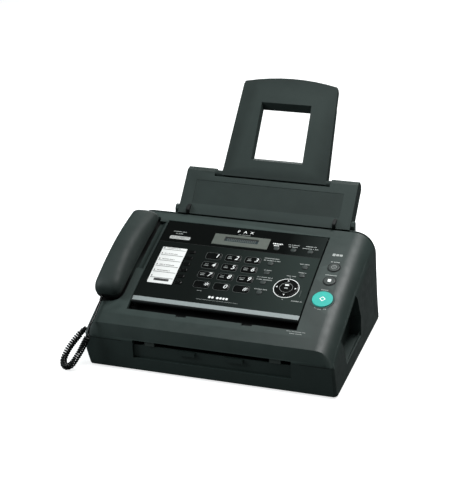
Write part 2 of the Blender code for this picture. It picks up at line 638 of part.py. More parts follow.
def make_panel_trim():
    front, back = PANEL_Y[0], PANEL_Y[0] + LIP_DEPTH
    roof = top_run(front + 0.0015, back, PANEL_RISE, 3)
    drop = PANEL_RISE - PANEL_THICKNESS
    outline = [(back, top_z(back) + drop), (front + 0.001, top_z(front) + drop),
               (front, top_z(front) + drop + 0.0012), (front, top_z(front) - 0.0006)] + roof
    lip = prism("panel_lip", outline, "X", *PANEL_X, slot="silver")
    middle_x = sum(DISPLAY_X) / 2
    middle_y = sum(DISPLAY_Y) / 2
    deep = (DISPLAY_Y[1] - DISPLAY_Y[0]) / math.cos(CHORD)
    bezel = prism("display_bezel", rounded_outline(DISPLAY_X[1] - DISPLAY_X[0], deep, 0.0008, 1), "Z",
                  PANEL_RISE - 0.0019, PANEL_RISE + 0.0008, "display")
    screen = rounded_outline(SCREEN_X[1] - SCREEN_X[0], (SCREEN_Y[1] - SCREEN_Y[0]) / math.cos(CHORD), 0.0006, 1)
    window = prism("screen_cut", screen, "Z", -0.0002, 0.005)
    window.location = (sum(SCREEN_X) / 2 - middle_x, (sum(SCREEN_Y) / 2 - middle_y) / math.cos(CHORD), PANEL_RISE)
    cut(bezel, window)
    on_top(bezel, middle_x, middle_y)
    sheet = top_run(*CARD_Y, PANEL_RISE + 0.0003, 7) + top_run(*CARD_Y, PANEL_RISE + 0.0011, 7)[::-1]
    prism("station_card", sheet, "X", *CARD_X, slot="card")
    return lip


# ---------------------------------------------------------------- paper tray and support


def make_rear_tray():
    half = TRAY_THICKNESS / 2
    low, high = TRAY_SPAN
    rear = half + TRAY_WALL_DEPTH
    outline = [(-half, low), (half, low), (half, TRAY_WALL_START), (rear, TRAY_WALL_START + 0.004),
               (rear, high - 0.0060), (rear - 0.0060, high - 0.0005), (0.0040, high), (0.0012, high - 0.0010),
               (-half, high - 0.0105)]
    tray = prism("rear_tray", outline, "X", *TRAY_X, slot="housing")
    back = box("tray_back_cut", (TRAY_X[0] + 0.004, -half + 0.003, 0.010), (TRAY_X[1] - 0.004, 0.05, 0.058))
    hollow = box("tray_hollow_cut", (TRAY_X[0] + 0.004, half, 0.005), (TRAY_X[1] - 0.004, 0.05, high - 0.0025))
    notch = box("support_notch", (NOTCH_X[0], -0.02, high - NOTCH_DEPTH), (NOTCH_X[1], 0.05, 0.10))
    face = box("tray_face_recess", (TRAY_X[0] + 0.022, -half - 0.004, 0.008),
               (TRAY_X[1] - 0.022, -half + 0.0005, 0.054))
    pin_bore = cylinder("tray_bore", (TRAY_X[0] - 0.01, 0, 0), (TRAY_X[0] + 0.0065, 0, 0), 0.0028, segments=12)
    pin_bore_right = cylinder("tray_bore_right", (TRAY_X[1] - 0.0065, 0, 0), (TRAY_X[1] + 0.01, 0, 0), 0.0028,
                              segments=12)
    support_bore = cylinder("support_bore", (NOTCH_X[0] - 0.007, 0, SUPPORT_AXIS), (NOTCH_X[1] + 0.007, 0, SUPPORT_AXIS),
                            0.0033, segments=12)
    cut(tray, back, hollow, notch, face, pin_bore, pin_bore_right, support_bore)
    tray.location = (0.0, *TRAY_PIVOT)
    tray.rotation_euler = (-TRAY_RECLINE, 0.0, 0.0)


def make_guides():
    """Document guides, fins that slide sideways along the tray's foot."""
    for name, x in (("left_document_guide", -0.1325), ("right_document_guide", 0.1360)):
        front = -TRAY_THICKNESS / 2 - 0.0003
        outline = [(front, -0.0125), (front, 0.0060), (front - 0.0030, 0.0030), (front - 0.0080, -0.0065),
                   (front - 0.0075, -0.0085)]
        fin = prism(name, outline, "X", x, x + 0.0060, "handset_dark")
        fin.location = (0.0, *TRAY_PIVOT)
        fin.rotation_euler = (-TRAY_RECLINE, 0.0, 0.0)


def support_pivot():
    """World y and z of the hinge between the tray and the paper support."""
    return (TRAY_PIVOT[0] + SUPPORT_AXIS * math.sin(TRAY_RECLINE),
            TRAY_PIVOT[1] + SUPPORT_AXIS * math.cos(TRAY_RECLINE))


def make_paper_support():
    """Tapered, arched plate with a bevelled window, as a filled curve."""
    low = -0.0035
    base_half, top_half = SUPPORT_HALF
    corner = 0.006
    top = SUPPORT_LENGTH + low
    outline = [(-base_half, low), (base_half, low), (top_half, top - corner)]
    for i in range(9):
        t = -1.0 + i / 4.0
        outline.append((-t * (top_half - 0.002), top + SUPPORT_ARCH * (1 - t * t)))
    outline.append((-top_half, top - corner))
    curve = bpy.data.curves.new("paper_support_outline", "CURVE")
    curve.dimensions = "2D"
    curve.fill_mode = "BOTH"
    curve.extrude = SUPPORT_THICKNESS / 2
    spline = curve.splines.new("POLY")
    spline.points.add(len(outline) - 1)
    for point, (x, z) in zip(spline.points, outline):
        point.co = (x, z, 0.0, 1.0)
    spline.use_cyclic_u = True
    sketch = bpy.data.objects.new("paper_support_sketch", curve)
    PARTS.objects.link(sketch)
    bpy.context.view_layer.update()
    mesh = bpy.data.meshes.new_from_object(sketch.evaluated_get(bpy.context.evaluated_depsgraph_get()))
    bpy.data.objects.remove(sketch, do_unlink=True)
    build = bmesh.new()
    build.from_mesh(mesh)
    bpy.data.meshes.remove(mesh)
    bmesh.ops.remove_doubles(build, verts=build.verts, dist=1e-5)
    bmesh.ops.dissolve_limit(build, angle_limit=0.01, verts=build.verts, edges=build.edges)
    bmesh.ops.rotate(build, cent=(0, 0, 0), matrix=Matrix.Rotation(math.pi / 2, 3, "X"), verts=build.verts)
    support = link("paper_support", build, "housing")
    front, back = -SUPPORT_THICKNESS / 2, SUPPORT_THICKNESS / 2
    window_front = [(-0.0480, 0.0295), (0.0475, 0.0295), (0.0450, 0.1415), (-0.0480, 0.1415)]
    window_back = [(-0.0455, 0.0370), (0.0460, 0.0370), (0.0445, 0.1310), (-0.0455, 0.1310)]
    ring_front = [(x, front - 0.0001, z) for x, z in window_front]
    ring_back = [(x, back + 0.0001, z) for x, z in window_back]
    cut(support, loft("window_cut", [ring_front, ring_back]))
    for side, x in (("left", -base_half), ("right", base_half)):
        edge = NOTCH_X[0] if side == "left" else NOTCH_X[1]
        tip = edge - SUPPORT_X + (-0.0055 if side == "left" else 0.0055)
        outward = math.copysign(1.0, x)
        join(support, cylinder(side + "_support_pin", (x - 0.004 * outward, 0, 0), (tip, 0, 0), 0.0030,
                               "housing", 12))
        knuckle_end = edge - SUPPORT_X - 0.0004 * outward
        join(support, cylinder(side + "_knuckle", (x - 0.003 * outward, 0, 0), (knuckle_end, 0, 0), 0.0062,
                               "housing", 16))
        foot = [(x, back - 0.001, low + 0.0002), (x, back + 0.0090, low + 0.0002),
                (x - 0.004 * outward, back + 0.0090, low + 0.0002), (x - 0.004 * outward, back - 0.001, low + 0.0002)]
        lean = (base_half - top_half) / SUPPORT_LENGTH * (SUPPORT_LENGTH - 0.040) * -outward
        head = [(a + lean, min(b, back + 0.0008), top - 0.040) for a, b, c in foot]
        join(support, loft(side + "_rib", [foot, head]))
    support.location = (SUPPORT_X, *support_pivot())
    support.rotation_euler = (-SUPPORT_RECLINE, 0.0, 0.0)


# ---------------------------------------------------------------- handset, hook switch and cord


def handset_frame():
    """Place and tilt of the handset's own frame: y along it, z up from the top's surface."""
    y0, y1 = HANDSET_Y
    tilt = math.atan((top_z(y1) - top_z(y0)) / (y1 - y0))
    length = (y1 - y0) / math.cos(tilt)
    return (HANDSET_X, y0, top_z(y0)), tilt, length


def handset_half_width(t):
    """Half the handset's width along its length, t from 0 at the front to 1 at the rear."""
    front = min(1.0, t / 0.10)
    rear = min(1.0, (1.0 - t) / 0.05)
    ends = 0.55 + 0.45 * math.sqrt(max(0.0, 1 - (1 - front) ** 2))
    tail = 0.72 + 0.28 * math.sqrt(max(0.0, 1 - (1 - rear) ** 2))
    return HANDSET_WIDTH / 2 * min(ends, tail)


def handset_crown(t):
    """Height of the handset's back above the split line."""
    arch = 0.0105 + 0.0215 * math.sin(math.pi * (0.10 + 0.80 * t))
    front = math.sqrt(max(0.0, 1 - (1 - min(1.0, t / 0.09)) ** 2))
    rear = math.sqrt(max(0.0, 1 - (1 - min(1.0, (1 - t) / 0.06)) ** 2))
    return arch * (0.30 + 0.70 * min(front, rear))


def handset_belly(t):
    """Depth of the handset's inner side below the split line."""
    middle = min(1.0, max(0.0, (0.5 - abs(t - 0.5)) / 0.5 * 2.2 - 0.50))
    swell = 0.5 - 0.5 * math.cos(math.pi * middle)
    ends = math.sqrt(max(0.0, 1 - (1 - min(1.0, min(t, 1 - t) / 0.06)) ** 2))
    return (0.0155 - 0.0095 * swell) * (0.45 + 0.55 * ends)


HANDSET_STATIONS = [0.0, 0.012, 0.035, 0.065, 0.10, 0.18, 0.28, 0.40, 0.52, 0.64, 0.76, 0.87, 0.94, 0.97, 0.99, 1.0]


def handset_half(name, upward, inset, slot=None):
    """One half of the handset as a solid: the crowned back, or the inner side."""
    _, _, length = handset_frame()
    rings = []
    for t in HANDSET_STATIONS:
        place = inset + t * (length - 2 * inset)
        half = handset_half_width(t) - inset
        ring = []
        for i in range(13):
            turn = math.pi * i / 12
            bow_x = math.copysign(abs(math.cos(turn)) ** 0.62, math.cos(turn))
            bow_z = math.sin(turn) ** 0.62
            if upward:
                ring.append((half * bow_x, place, SPLIT + 0.0002 + (handset_crown(t) - inset) * bow_z))
            else:
                ring.append((half * 0.95 * bow_x, place, SPLIT - 0.0002 - (handset_belly(t) - inset) * bow_z))
        rings.append(ring)
    made = loft(name, rings, slot)
    where, tilt, _ = handset_frame()
    made.location = where
    made.rotation_euler = (tilt, 0.0, HANDSET_YAW)
    return made


def make_handset():
    outer = handset_half("handset_outer_shell", True, 0.0, "handset")
    hollow = handset_half("outer_hollow", True, 0.0025)
    for vert in hollow.data.vertices:
        vert.co.z = SPLIT + (vert.co.z - SPLIT) - 0.0004
    cut(outer, hollow)
    inner = handset_half("handset_inner_shell", False, 0.0, "handset_dark")
    hollow = handset_half("inner_hollow", False, 0.0025)
    for vert in hollow.data.vertices:
        vert.co.z = SPLIT + (vert.co.z - SPLIT) + 0.0004
    cut(inner, hollow)


def make_hook_switch():
    where, tilt, length = handset_frame()
    hook = prism("hook_switch", rounded_outline(0.0080, 0.0120, 0.001, 1), "Z", -0.0160, -0.0045, "handset_dark")
    on_top(hook, HANDSET_X, HOOK_Y)


def tube(name, points, radius, resolution, slot):
    """Round bar along a list of points, as a bevelled poly curve with caps."""
    curve = bpy.data.curves.new(name, "CURVE")
    curve.dimensions = "3D"
    curve.bevel_depth = radius
    curve.bevel_resolution = resolution
    curve.use_fill_caps = True
    spline = curve.splines.new("POLY")
    spline.points.add(len(points) - 1)
    for point, place in zip(spline.points, points):
        point.co = (*place, 1.0)
    curve.materials.append(MATERIALS[slot])
    made = bpy.data.objects.new(name, curve)
    PARTS.objects.link(made)
    return made


def smooth_route(points, count):
    """Evenly spaced points on a smooth curve through the route's own points."""
    places = [Vector(point) for point in points]
    padded = [2 * places[0] - places[1]] + places + [2 * places[-1] - places[-2]]
    fine = []
    for i in range(1, len(padded) - 2):
        a, b, c, d = padded[i - 1:i + 3]
        for step in range(24):
            t = step / 24
            fine.append(0.5 * (2 * b + (c - a) * t + (2 * a - 5 * b + 4 * c - d) * t * t
                               + (3 * b - a - 3 * c + d) * t ** 3))
    fine.append(places[-1])
    runs = [0.0]
    for near, far in zip(fine, fine[1:]):
        runs.append(runs[-1] + (far - near).length)
    spaced = []
    for goal in spread(0.0, runs[-1], count):
        i = max(1, next((k for k, run in enumerate(runs) if run >= goal - 1e-9), len(runs) - 1))
        share = (goal - runs[i - 1]) / (runs[i] - runs[i - 1])
        spaced.append(fine[i - 1].lerp(fine[i], share))
    return spaced


CORD_RADIUS = 0.0016
COIL_RADIUS = 0.0060
LEAD_ROUTE = [(-0.2050, 0.0470, 0.0975), (-0.2045, 0.0380, 0.0925), (-0.2038, 0.0250, 0.0867),
              (-0.2036, 0.0130, 0.0818), (-0.2040, 0.0040, 0.0790), (-0.2046, -0.0035, 0.0750),
              (-0.2050, -0.0080, 0.0695), (-0.2050, -0.0098, 0.0645)]
COIL_ROUTE = [(-0.2050, -0.0100, 0.0639), (-0.2056, -0.0116, 0.0590), (-0.2093, -0.0142, 0.0513),
              (-0.2174, -0.0190, 0.0338), (-0.2246, -0.0250, 0.0211), (-0.2310, -0.0285, 0.0115),
              (-0.2385, -0.0290, 0.0070), (-0.2458, -0.0250, 0.0065), (-0.2505, -0.0175, 0.0100),
              (-0.2500, -0.0120, 0.0165), (-0.2460, -0.0060, 0.0265), (-0.2405, 0.0000, 0.0355),
              (-0.2345, 0.0060, 0.0440), (-0.2300, 0.0100, 0.0495), (-0.2262, 0.0145, 0.0540)]


def make_cord():
    tube("handset_cord_lead", smooth_route(LEAD_ROUTE, 22), CORD_RADIUS, 2, "cord")
    tube("handset_cord_coil", smooth_route(COIL_ROUTE, 34), COIL_RADIUS, 3, "cord")
    lead_in = (Vector(LEAD_ROUTE[0]) - Vector(LEAD_ROUTE[1])).normalized()
    start = Vector(LEAD_ROUTE[0]) + lead_in * 0.0003
    cylinder("handset_plug", start, start + lead_in * 0.0072, 0.0026, "cord", 12)
    coil_end = smooth_route(COIL_ROUTE, 34)
    jack_out = (coil_end[-1] - coil_end[-2]).normalized()
    start = coil_end[-1] + jack_out * 0.0003
    cylinder("base_plug", start, start + jack_out * 0.0085, 0.0030, "cord", 12)


# ---------------------------------------------------------------- inside


def make_engine():
    toner_outline = [(0.086, 0.006), (0.160, 0.006), (0.168, 0.030), (0.168, 0.082), (0.150, 0.090),
                     (0.104, 0.076), (0.086, 0.066)]
    soften(prism("toner_cartridge", toner_outline, "X", -0.118, 0.124, "engine"), 0.003)
    soften(box("fuser_unit", (-0.118, 0.046, 0.006), (0.124, 0.080, 0.044), "engine"), 0.002)
    roller = cylinder("paper_exit_roller", (SLOT_X[0] - 0.0028, ROLLER_Y, ROLLER_Z),
                      (SLOT_X[1] + 0.0028, ROLLER_Y, ROLLER_Z), 0.0055, "roller", 24)
    join(roller, cylinder("exit_journal", (SLOT_X[0] - 0.0070, ROLLER_Y, ROLLER_Z),
                          (SLOT_X[1] + 0.0070, ROLLER_Y, ROLLER_Z), 0.0025, "roller", 12))
    feed = cylinder("document_roller", (FEED_X[0] + 0.0006, 0, -FEED_DROP), (FEED_X[1] - 0.0006, 0, -FEED_DROP),
                    0.0070, "roller", 24)
    journal = cylinder("feed_journal", (FEED_X[0] - 0.0040, 0, -FEED_DROP), (FEED_X[1] + 0.0040, 0, -FEED_DROP),
                       0.0025, "roller", 12)
    join(feed, journal)
    on_top(feed, 0.0, FEED_Y)
    sensor = box("image_sensor", (SENSOR_X[0], -0.009, -POCKET_DEPTH - 0.013), (SENSOR_X[1], 0.009, -POCKET_DEPTH),
                 "gloss")
    on_top(sensor, 0.0, SENSOR_Y)


ROLLER_Y, ROLLER_Z = 0.0320, 0.0660
TONGUE_X = (-0.0525, 0.0300)
FEED_X, FEED_Y = (-0.1110, 0.0930), 0.1500
FEED_DROP = POCKET_DEPTH - 0.0008 + 0.0070
SENSOR_X, SENSOR_Y = (-0.1170, 0.0990), 0.1150
HOOK_Y = 0.2100
INLET = (0.1500, 0.0480)
JACK = (-0.1500, 0.0450)
SPLIT = 0.0105
SUPPORT_AXIS = 0.0720


def centre_without_cord():
    """Middle of the machine in x and y, leaving out the free cord and its plugs."""
    bpy.context.view_layer.update()
    corners = []
    for made in PARTS.objects:
        if made.type == "MESH" and "plug" not in made.name:
            corners += [made.matrix_world @ vert.co for vert in made.data.vertices]
    return [(min(c[i] for c in corners) + max(c[i] for c in corners)) / 2 for i in range(2)]


def main():
    make_base_housing()
    make_top_cover()
    make_rear_housing()
    make_feet()
    make_sockets()
    make_operation_panel()
    make_panel_trim()
    make_keys()
    make_rear_tray()
    make_guides()
    make_paper_support()
    make_handset()
    make_hook_switch()
    make_cord()
    make_engine()
    origin = bpy.data.objects.new("machine_origin", None)
    PARTS.objects.link(origin)
    centre = centre_without_cord()
    origin.location = (-centre[0], -centre[1], 0.0)
    for made in list(PARTS.objects) + list(CUTTERS.objects):
        if made is not origin:
            made.parent = origin


main()
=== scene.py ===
"""Looks for the desktop fax machine: materials, legends, handset, coiled cord, floor, lights and camera."""

import math
import random

import bmesh
import bpy
from mathutils import Matrix, Vector


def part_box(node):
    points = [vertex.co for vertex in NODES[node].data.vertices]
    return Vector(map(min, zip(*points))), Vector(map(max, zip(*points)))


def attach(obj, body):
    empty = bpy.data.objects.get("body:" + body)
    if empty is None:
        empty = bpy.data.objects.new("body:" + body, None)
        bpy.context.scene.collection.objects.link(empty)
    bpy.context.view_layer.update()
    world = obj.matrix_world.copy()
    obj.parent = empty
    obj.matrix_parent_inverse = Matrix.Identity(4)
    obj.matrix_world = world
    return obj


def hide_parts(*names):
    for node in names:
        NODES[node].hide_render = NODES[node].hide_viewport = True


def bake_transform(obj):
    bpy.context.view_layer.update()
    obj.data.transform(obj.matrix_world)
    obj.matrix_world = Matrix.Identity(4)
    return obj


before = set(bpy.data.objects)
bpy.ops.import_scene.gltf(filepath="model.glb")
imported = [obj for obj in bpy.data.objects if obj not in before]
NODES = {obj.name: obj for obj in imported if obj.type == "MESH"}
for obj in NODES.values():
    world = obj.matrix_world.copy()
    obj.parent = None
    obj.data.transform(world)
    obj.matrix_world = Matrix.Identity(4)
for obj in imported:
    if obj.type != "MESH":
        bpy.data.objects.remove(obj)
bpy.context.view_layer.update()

# ---------------------------------------------------------------- sizes, in metres

HALF_WIDTH = 0.2175
_low, _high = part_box("base_housing")
# Bench coordinates have x = 0 mid-housing and y = 0 at the front face; SHIFT takes them to the row frame.
SHIFT = Vector((_high[0] - HALF_WIDTH, _low[1], 0.0))

# The sloping top: its front edge, its crest, and how far it bulges between them.
LIP_Y, LIP_Z = 0.0104, 0.077
CREST_Y, CREST_Z = 0.276, 0.1696
TOP_BULGE = 0.006
TOP_SLOPE = (CREST_Z - LIP_Z) / (CREST_Y - LIP_Y)

# The key panel, its rise above the cover, and where its rear band begins.
PANEL_X = (-0.1545, 0.1367)
PANEL_Y = (0.0609, 0.2526)
PANEL_RISE = 0.0012
BAND_Y = 0.2000
# The cover's hollows that get painted shade: how far below the top they count, where they begin, and their left and
# right ends.
HOLLOW_DEPTH, HOLLOW_FRONT = 0.0030, 0.0425
CRADLE_X, POCKET_X = (-0.2162, -0.1735), (-0.1572, 0.1400)

# The dial: pitch of its keys, middle of its lowest row, and size of a key.
KEY_PITCH_X, KEY_PITCH_Y = 0.035, 0.022
DIAL_X, DIAL_Y = -0.011, 0.111
KEY_SIZE = (0.026, 0.0132)
# How far the dial keys, the navigator and the card stand above the panel, and print above what it is on.
KEY_RISE, NAV_RISE, CARD_RISE = 0.0014, 0.0018, 0.0011
PRINT_GAP = 0.00003
# The round keys: middle and radius.
NAV = (0.0985, 0.1243, 0.0202)
START = (0.1643, 0.1109, 0.0175)
STOP = (0.1645, 0.1834, 0.0098)
COPY = (0.1650, 0.1522, 0.0098)
SCREEN_X, SCREEN_Y = (-0.0415, 0.0200), (0.2165, 0.2273)
CARD_X, CARD_Y = (-0.1418, -0.0970), (0.1014, 0.1850)

# The handset: its middle, ends, width and turn, and the height of the joint between its shells.
HANDSET_X, HANDSET_Y, HANDSET_WIDTH = -0.1980, (0.0580, 0.2520), 0.049
HANDSET_YAW = math.radians(-0.75)
SPLIT = 0.0105
# How high its back stands at the ends and adds in the middle, and how deep its caps hang and rise between.
ARCH, ARCH_RISE = 0.0105, 0.0215
CAP_DEPTH, CAP_RISE = 0.0155, 0.0095

# The seam of cover and base, the tray's hinge (y, z) and lean, and the ends of the paper support's notch.
SEAM_Z = 0.0535
TRAY_PIVOT, TRAY_RECLINE = (0.2918, 0.1759), math.radians(45.0)
NOTCH_X = (-0.0965, 0.1170)

CORD_RADIUS = 0.0016
# The coil's outside radius, the rise and the points of each turn, and the lead's step between points.
COIL_RADIUS = 0.0060
COIL_PITCH = 0.0041
TURN_POINTS = 16
LEAD_STEP = 0.0024
ROUTE_FINENESS = 40
LEAD_ROUTE = [(-0.2050, 0.0470, 0.0975), (-0.2045, 0.0380, 0.0925), (-0.2038, 0.0250, 0.0867),
              (-0.2036, 0.0130, 0.0818), (-0.2040, 0.0040, 0.0790), (-0.2046, -0.0035, 0.0750),
              (-0.2050, -0.0080, 0.0695), (-0.2050, -0.0098, 0.0645)]
COIL_ROUTE = [(-0.2050, -0.0100, 0.0639), (-0.2056, -0.0116, 0.0590), (-0.2093, -0.0142, 0.0513),
              (-0.2174, -0.0190, 0.0338), (-0.2246, -0.0250, 0.0211), (-0.2310, -0.0285, 0.0115),
              (-0.2385, -0.0290, 0.0070), (-0.2458, -0.0250, 0.0065), (-0.2505, -0.0175, 0.0100),
              (-0.2500, -0.0120, 0.0165), (-0.2460, -0.0060, 0.0265), (-0.2405, 0.0000, 0.0355),
              (-0.2345, 0.0060, 0.0440), (-0.2300, 0.0100, 0.0495), (-0.2262, 0.0145, 0.0540)]

# Camera: angles in degrees, distances in metres, focal length in millimetres on a 36 mm sensor.
CAMERA_AZIMUTH, CAMERA_ELEVATION, CAMERA_ROLL = 19.3, 23.84, 1.71
CAMERA_DISTANCE, CAMERA_LENS = 2.4657, 108.47
CAMERA_TARGET = (-0.02622, 0.1800, 0.17317)


def bench(x, y, z):
    """Row-frame position of a point given in bench coordinates."""
    return SHIFT + Vector((x, y, z))


def top_z(y):
    """Height of the sloping, slightly crowned top at y."""
    t = (y - LIP_Y) / (CREST_Y - LIP_Y)
    return LIP_Z + (y - LIP_Y) * TOP_SLOPE + 4.0 * TOP_BULGE * t * (1.0 - t)


def top_angle(y):
    """Slope of the top at y, in radians."""
    t = (y - LIP_Y) / (CREST_Y - LIP_Y)
    return math.atan(TOP_SLOPE + 4.0 * TOP_BULGE * (1.0 - 2.0 * t) / (CREST_Y - LIP_Y))


def top_frame(x, y, lift=0.0):
    """Matrix whose Z is the sloping top's normal at (x, y), lifted clear of it."""
    angle = top_angle(y)
    normal = Vector((0.0, -math.sin(angle), math.cos(angle)))
    return Matrix.Translation(bench(x, y, top_z(y)) + normal * lift) @ Matrix.Rotation(angle, 4, "X")


# ---------------------------------------------------------------- materials


# The part of a noise pattern's range that most of it falls in.
MIDDLE = (0.3, 0.7)


def node_material(name):
    """New material with its node tree and its shader."""
    made = bpy.data.materials.new(name)
    made.use_nodes = True
    tree = made.node_tree
    return made, tree, tree.nodes["Principled BSDF"]


def coordinates(tree, kind="Object"):
    """The object's own coordinates, which are the row frame's at rest."""
    return tree.nodes.new("ShaderNodeTexCoord").outputs[kind]


def noise(tree, scale, detail=2.0, roughness=0.5):
    """Value socket of a noise pattern; scale is in cells per metre."""
    made = tree.nodes.new("ShaderNodeTexNoise")
    made.inputs["Scale"].default_value = scale
    made.inputs["Detail"].default_value = detail
    made.inputs["Roughness"].default_value = roughness
    tree.links.new(coordinates(tree), made.inputs["Vector"])
    return made.outputs["Fac"]


def axes(tree, vector):
    """The X, Y and Z sockets of a vector socket."""
    split = tree.nodes.new("ShaderNodeSeparateXYZ")
    tree.links.new(vector, split.inputs["Vector"])
    return split.outputs


def ranged(tree, source, low, high, to_low, to_high):
    """Linear map of a value socket from low..high to to_low..to_high, clamped."""
    made = tree.nodes.new("ShaderNodeMapRange")
    for key, value in (("From Min", low), ("From Max", high), ("To Min", to_low), ("To Max", to_high)):
        made.inputs[key].default_value = value
    tree.links.new(source, made.inputs["Value"])
    return made.outputs["Result"]


def mixed(tree, factor, first, second):
    """Mix of two colours by a factor socket; each colour is an RGB tuple or a socket."""
    made = tree.nodes.new("ShaderNodeMix")
    made.data_type = "RGBA"
    tree.links.new(factor, made.inputs["Factor"])
    for key, colour in (("A", first), ("B", second)):
        if isinstance(colour, tuple):
            made.inputs[key].default_value = (*colour, 1.0)
        else:
            tree.links.new(colour, made.inputs[key])
    return made.outputs["Result"]


def combined(tree, operation, first, second):
    """Sum, product or the like of two value sockets."""
    made = tree.nodes.new("ShaderNodeMath")
    made.operation = operation
    tree.links.new(first, made.inputs[0])
    tree.links.new(second, made.inputs[1])
    return made.outputs["Value"]


def along(tree, source, way):
    """How far the vector socket points along a fixed direction."""
    made = tree.nodes.new("ShaderNodeVectorMath")
    made.operation = "DOT_PRODUCT"
    made.inputs[1].default_value = way
    tree.links.new(source, made.inputs[0])
    return made.outputs["Value"]


def add_relief(tree, shader, height, strength, distance):
    """Bump from a height socket."""
    made = tree.nodes.new("ShaderNodeBump")
    made.inputs["Strength"].default_value = strength
    made.inputs["Distance"].default_value = distance
    tree.links.new(height, made.inputs["Height"])
    tree.links.new(made.outputs["Normal"], shader.inputs["Normal"])


def shades(colour, mottle):
    """Slightly darker and slightly paler versions of a colour."""
    return tuple(c * (1.0 - mottle) for c in colour), tuple(min(1.0, c * (1.0 + mottle)) for c in colour)


def moulded(name, colour, roughness, grain=0.0007, bump=0.25, specular=0.28, wear=0.25):
    """Moulded plastic: spark-eroded grain, faint mottling, uneven gloss and paler worn edges."""
    made, tree, shader = node_material(name)
    fine = noise(tree, 1.0 / grain, 2.0, 0.6)
    broad = noise(tree, 22.0, 3.0, 0.55)
    smudge = noise(tree, 70.0, 4.0, 0.6)
    dark, pale = shades(colour, 0.10)
    body = mixed(tree, ranged(tree, broad, *MIDDLE, 0.0, 1.0), dark, pale)
    geometry = tree.nodes.new("ShaderNodeNewGeometry")
    edge = ranged(tree, geometry.outputs["Pointiness"], 0.53, 0.62, 0.0, wear)
    worn = tuple(min(1.0, c * 2.2 + 0.01) for c in colour)
    tree.links.new(mixed(tree, edge, body, worn), shader.inputs["Base Color"])
    tree.links.new(ranged(tree, smudge, *MIDDLE, roughness - 0.05, roughness + 0.06), shader.inputs["Roughness"])
    add_relief(tree, shader, fine, bump, 0.00008)
    shader.inputs["Specular IOR Level"].default_value = specular
    return made


def paint_shade_in_hollows(made):
    """Painted shade: blacken what lies well below the sloping top, inside the document pocket and the handset cradle.
    """
    tree = made.node_tree
    shader = tree.nodes["Principled BSDF"]
    where = coordinates(tree)
    place = axes(tree, where)

    def step(socket, edge, above=True):
        low, high = (0.0, 1.0) if above else (1.0, 0.0)
        return ranged(tree, socket, edge - 0.0004, edge + 0.0004, low, high)

    def between(left, right):
        ends = step(place["X"], SHIFT.x + left), step(place["X"], SHIFT.x + right, False)
        return combined(tree, "MULTIPLY", *ends)

    height = along(tree, where, (0.0, -TOP_SLOPE, 1.0))
    level = LIP_Z - (LIP_Y + SHIFT.y) * TOP_SLOPE
    below = step(height, level - HOLLOW_DEPTH, False)
    hollow_shade_mask = combined(tree, "MULTIPLY", below, step(place["Y"], SHIFT.y + HOLLOW_FRONT))
    either = combined(tree, "MAXIMUM", between(*CRADLE_X), between(*POCKET_X))
    hollow_shade_mask = combined(tree, "MULTIPLY", hollow_shade_mask, either)
    plain = shader.inputs["Base Color"].links[0].from_socket
    # Painted shade: a near-black colour where the hollows lie in shade.
    tree.links.new(mixed(tree, hollow_shade_mask, plain, (0.0018, 0.0020, 0.0020)), shader.inputs["Base Color"])
    return made


def smooth_finish(name, colour, roughness, metallic=0.0, specular=0.5, mottle=0.06, coat=0.0):
    """Polished or painted surface with fine haze and faint colour variation."""
    made, tree, shader = node_material(name)
    haze = noise(tree, 160.0, 4.0, 0.6)
    dark, pale = shades(colour, mottle)
    tree.links.new(mixed(tree, ranged(tree, haze, *MIDDLE, 0.0, 1.0), dark, pale), shader.inputs["Base Color"])
    tree.links.new(ranged(tree, haze, 0.25, 0.75, roughness * 0.85, roughness * 1.2 + 0.01),
                   shader.inputs["Roughness"])
    shader.inputs["Metallic"].default_value = metallic
    shader.inputs["Specular IOR Level"].default_value = specular
    shader.inputs["Coat Weight"].default_value = coat
    shader.inputs["Coat Roughness"].default_value = 0.06
    return made


def lip_finish(name):
    """Silver paint on the flat top of the panel's front lip, black on its nose and underside."""
    made, tree, shader = node_material(name)
    angle = top_angle(PANEL_Y[0])
    facing = along(tree, coordinates(tree, "Normal"), (0.0, -math.sin(angle), math.cos(angle)))
    haze = noise(tree, 300.0, 4.0, 0.6)
    paint = mixed(tree, ranged(tree, haze, *MIDDLE, 0.0, 1.0), (0.24, 0.275, 0.275), (0.28, 0.315, 0.315))
    upper = ranged(tree, facing, 0.94, 0.985, 0.0, 1.0)
    tree.links.new(mixed(tree, upper, (0.004, 0.005, 0.005), paint), shader.inputs["Base Color"])
    tree.links.new(ranged(tree, haze, *MIDDLE, 0.32, 0.40), shader.inputs["Roughness"])
    return made


def printed_panel_with_painted_sheen(name):
    """Black printed film with a painted sheen: its colour turns grey towards the right, and the rear band's turns
    dim, for the light caught by the glossy film.
    """
    made, tree, shader = node_material(name)
    place = axes(tree, coordinates(tree))
    # Painted sheen: grey and dim are the colours that the film ramps to towards the right, standing for the glossy
    # film's reflection of the lights.
    black, grey, dim = (0.0012, 0.0015, 0.0014), (0.022, 0.030, 0.0275), (0.014, 0.018, 0.017)
    film = mixed(tree, ranged(tree, place["X"], SHIFT.x - 0.06, SHIFT.x + 0.11, 0.17, 1.0), black, grey)
    dark = mixed(tree, ranged(tree, place["X"], SHIFT.x + 0.07, SHIFT.x + 0.14, 0.0, 1.0), black, dim)
    band = tree.nodes.new("ShaderNodeMath")
    band.operation = "GREATER_THAN"
    band.inputs[1].default_value = SHIFT.y + BAND_Y
    tree.links.new(place["Y"], band.inputs[0])
    tree.links.new(mixed(tree, band.outputs["Value"], film, dark), shader.inputs["Base Color"])
    haze = noise(tree, 90.0, 4.0, 0.6)
    tree.links.new(ranged(tree, haze, *MIDDLE, 0.12, 0.19), shader.inputs["Roughness"])
    add_relief(tree, shader, noise(tree, 2500.0, 2.0, 0.5), 0.06, 0.00004)
    shader.inputs["Specular IOR Level"].default_value = 0.30
    return made


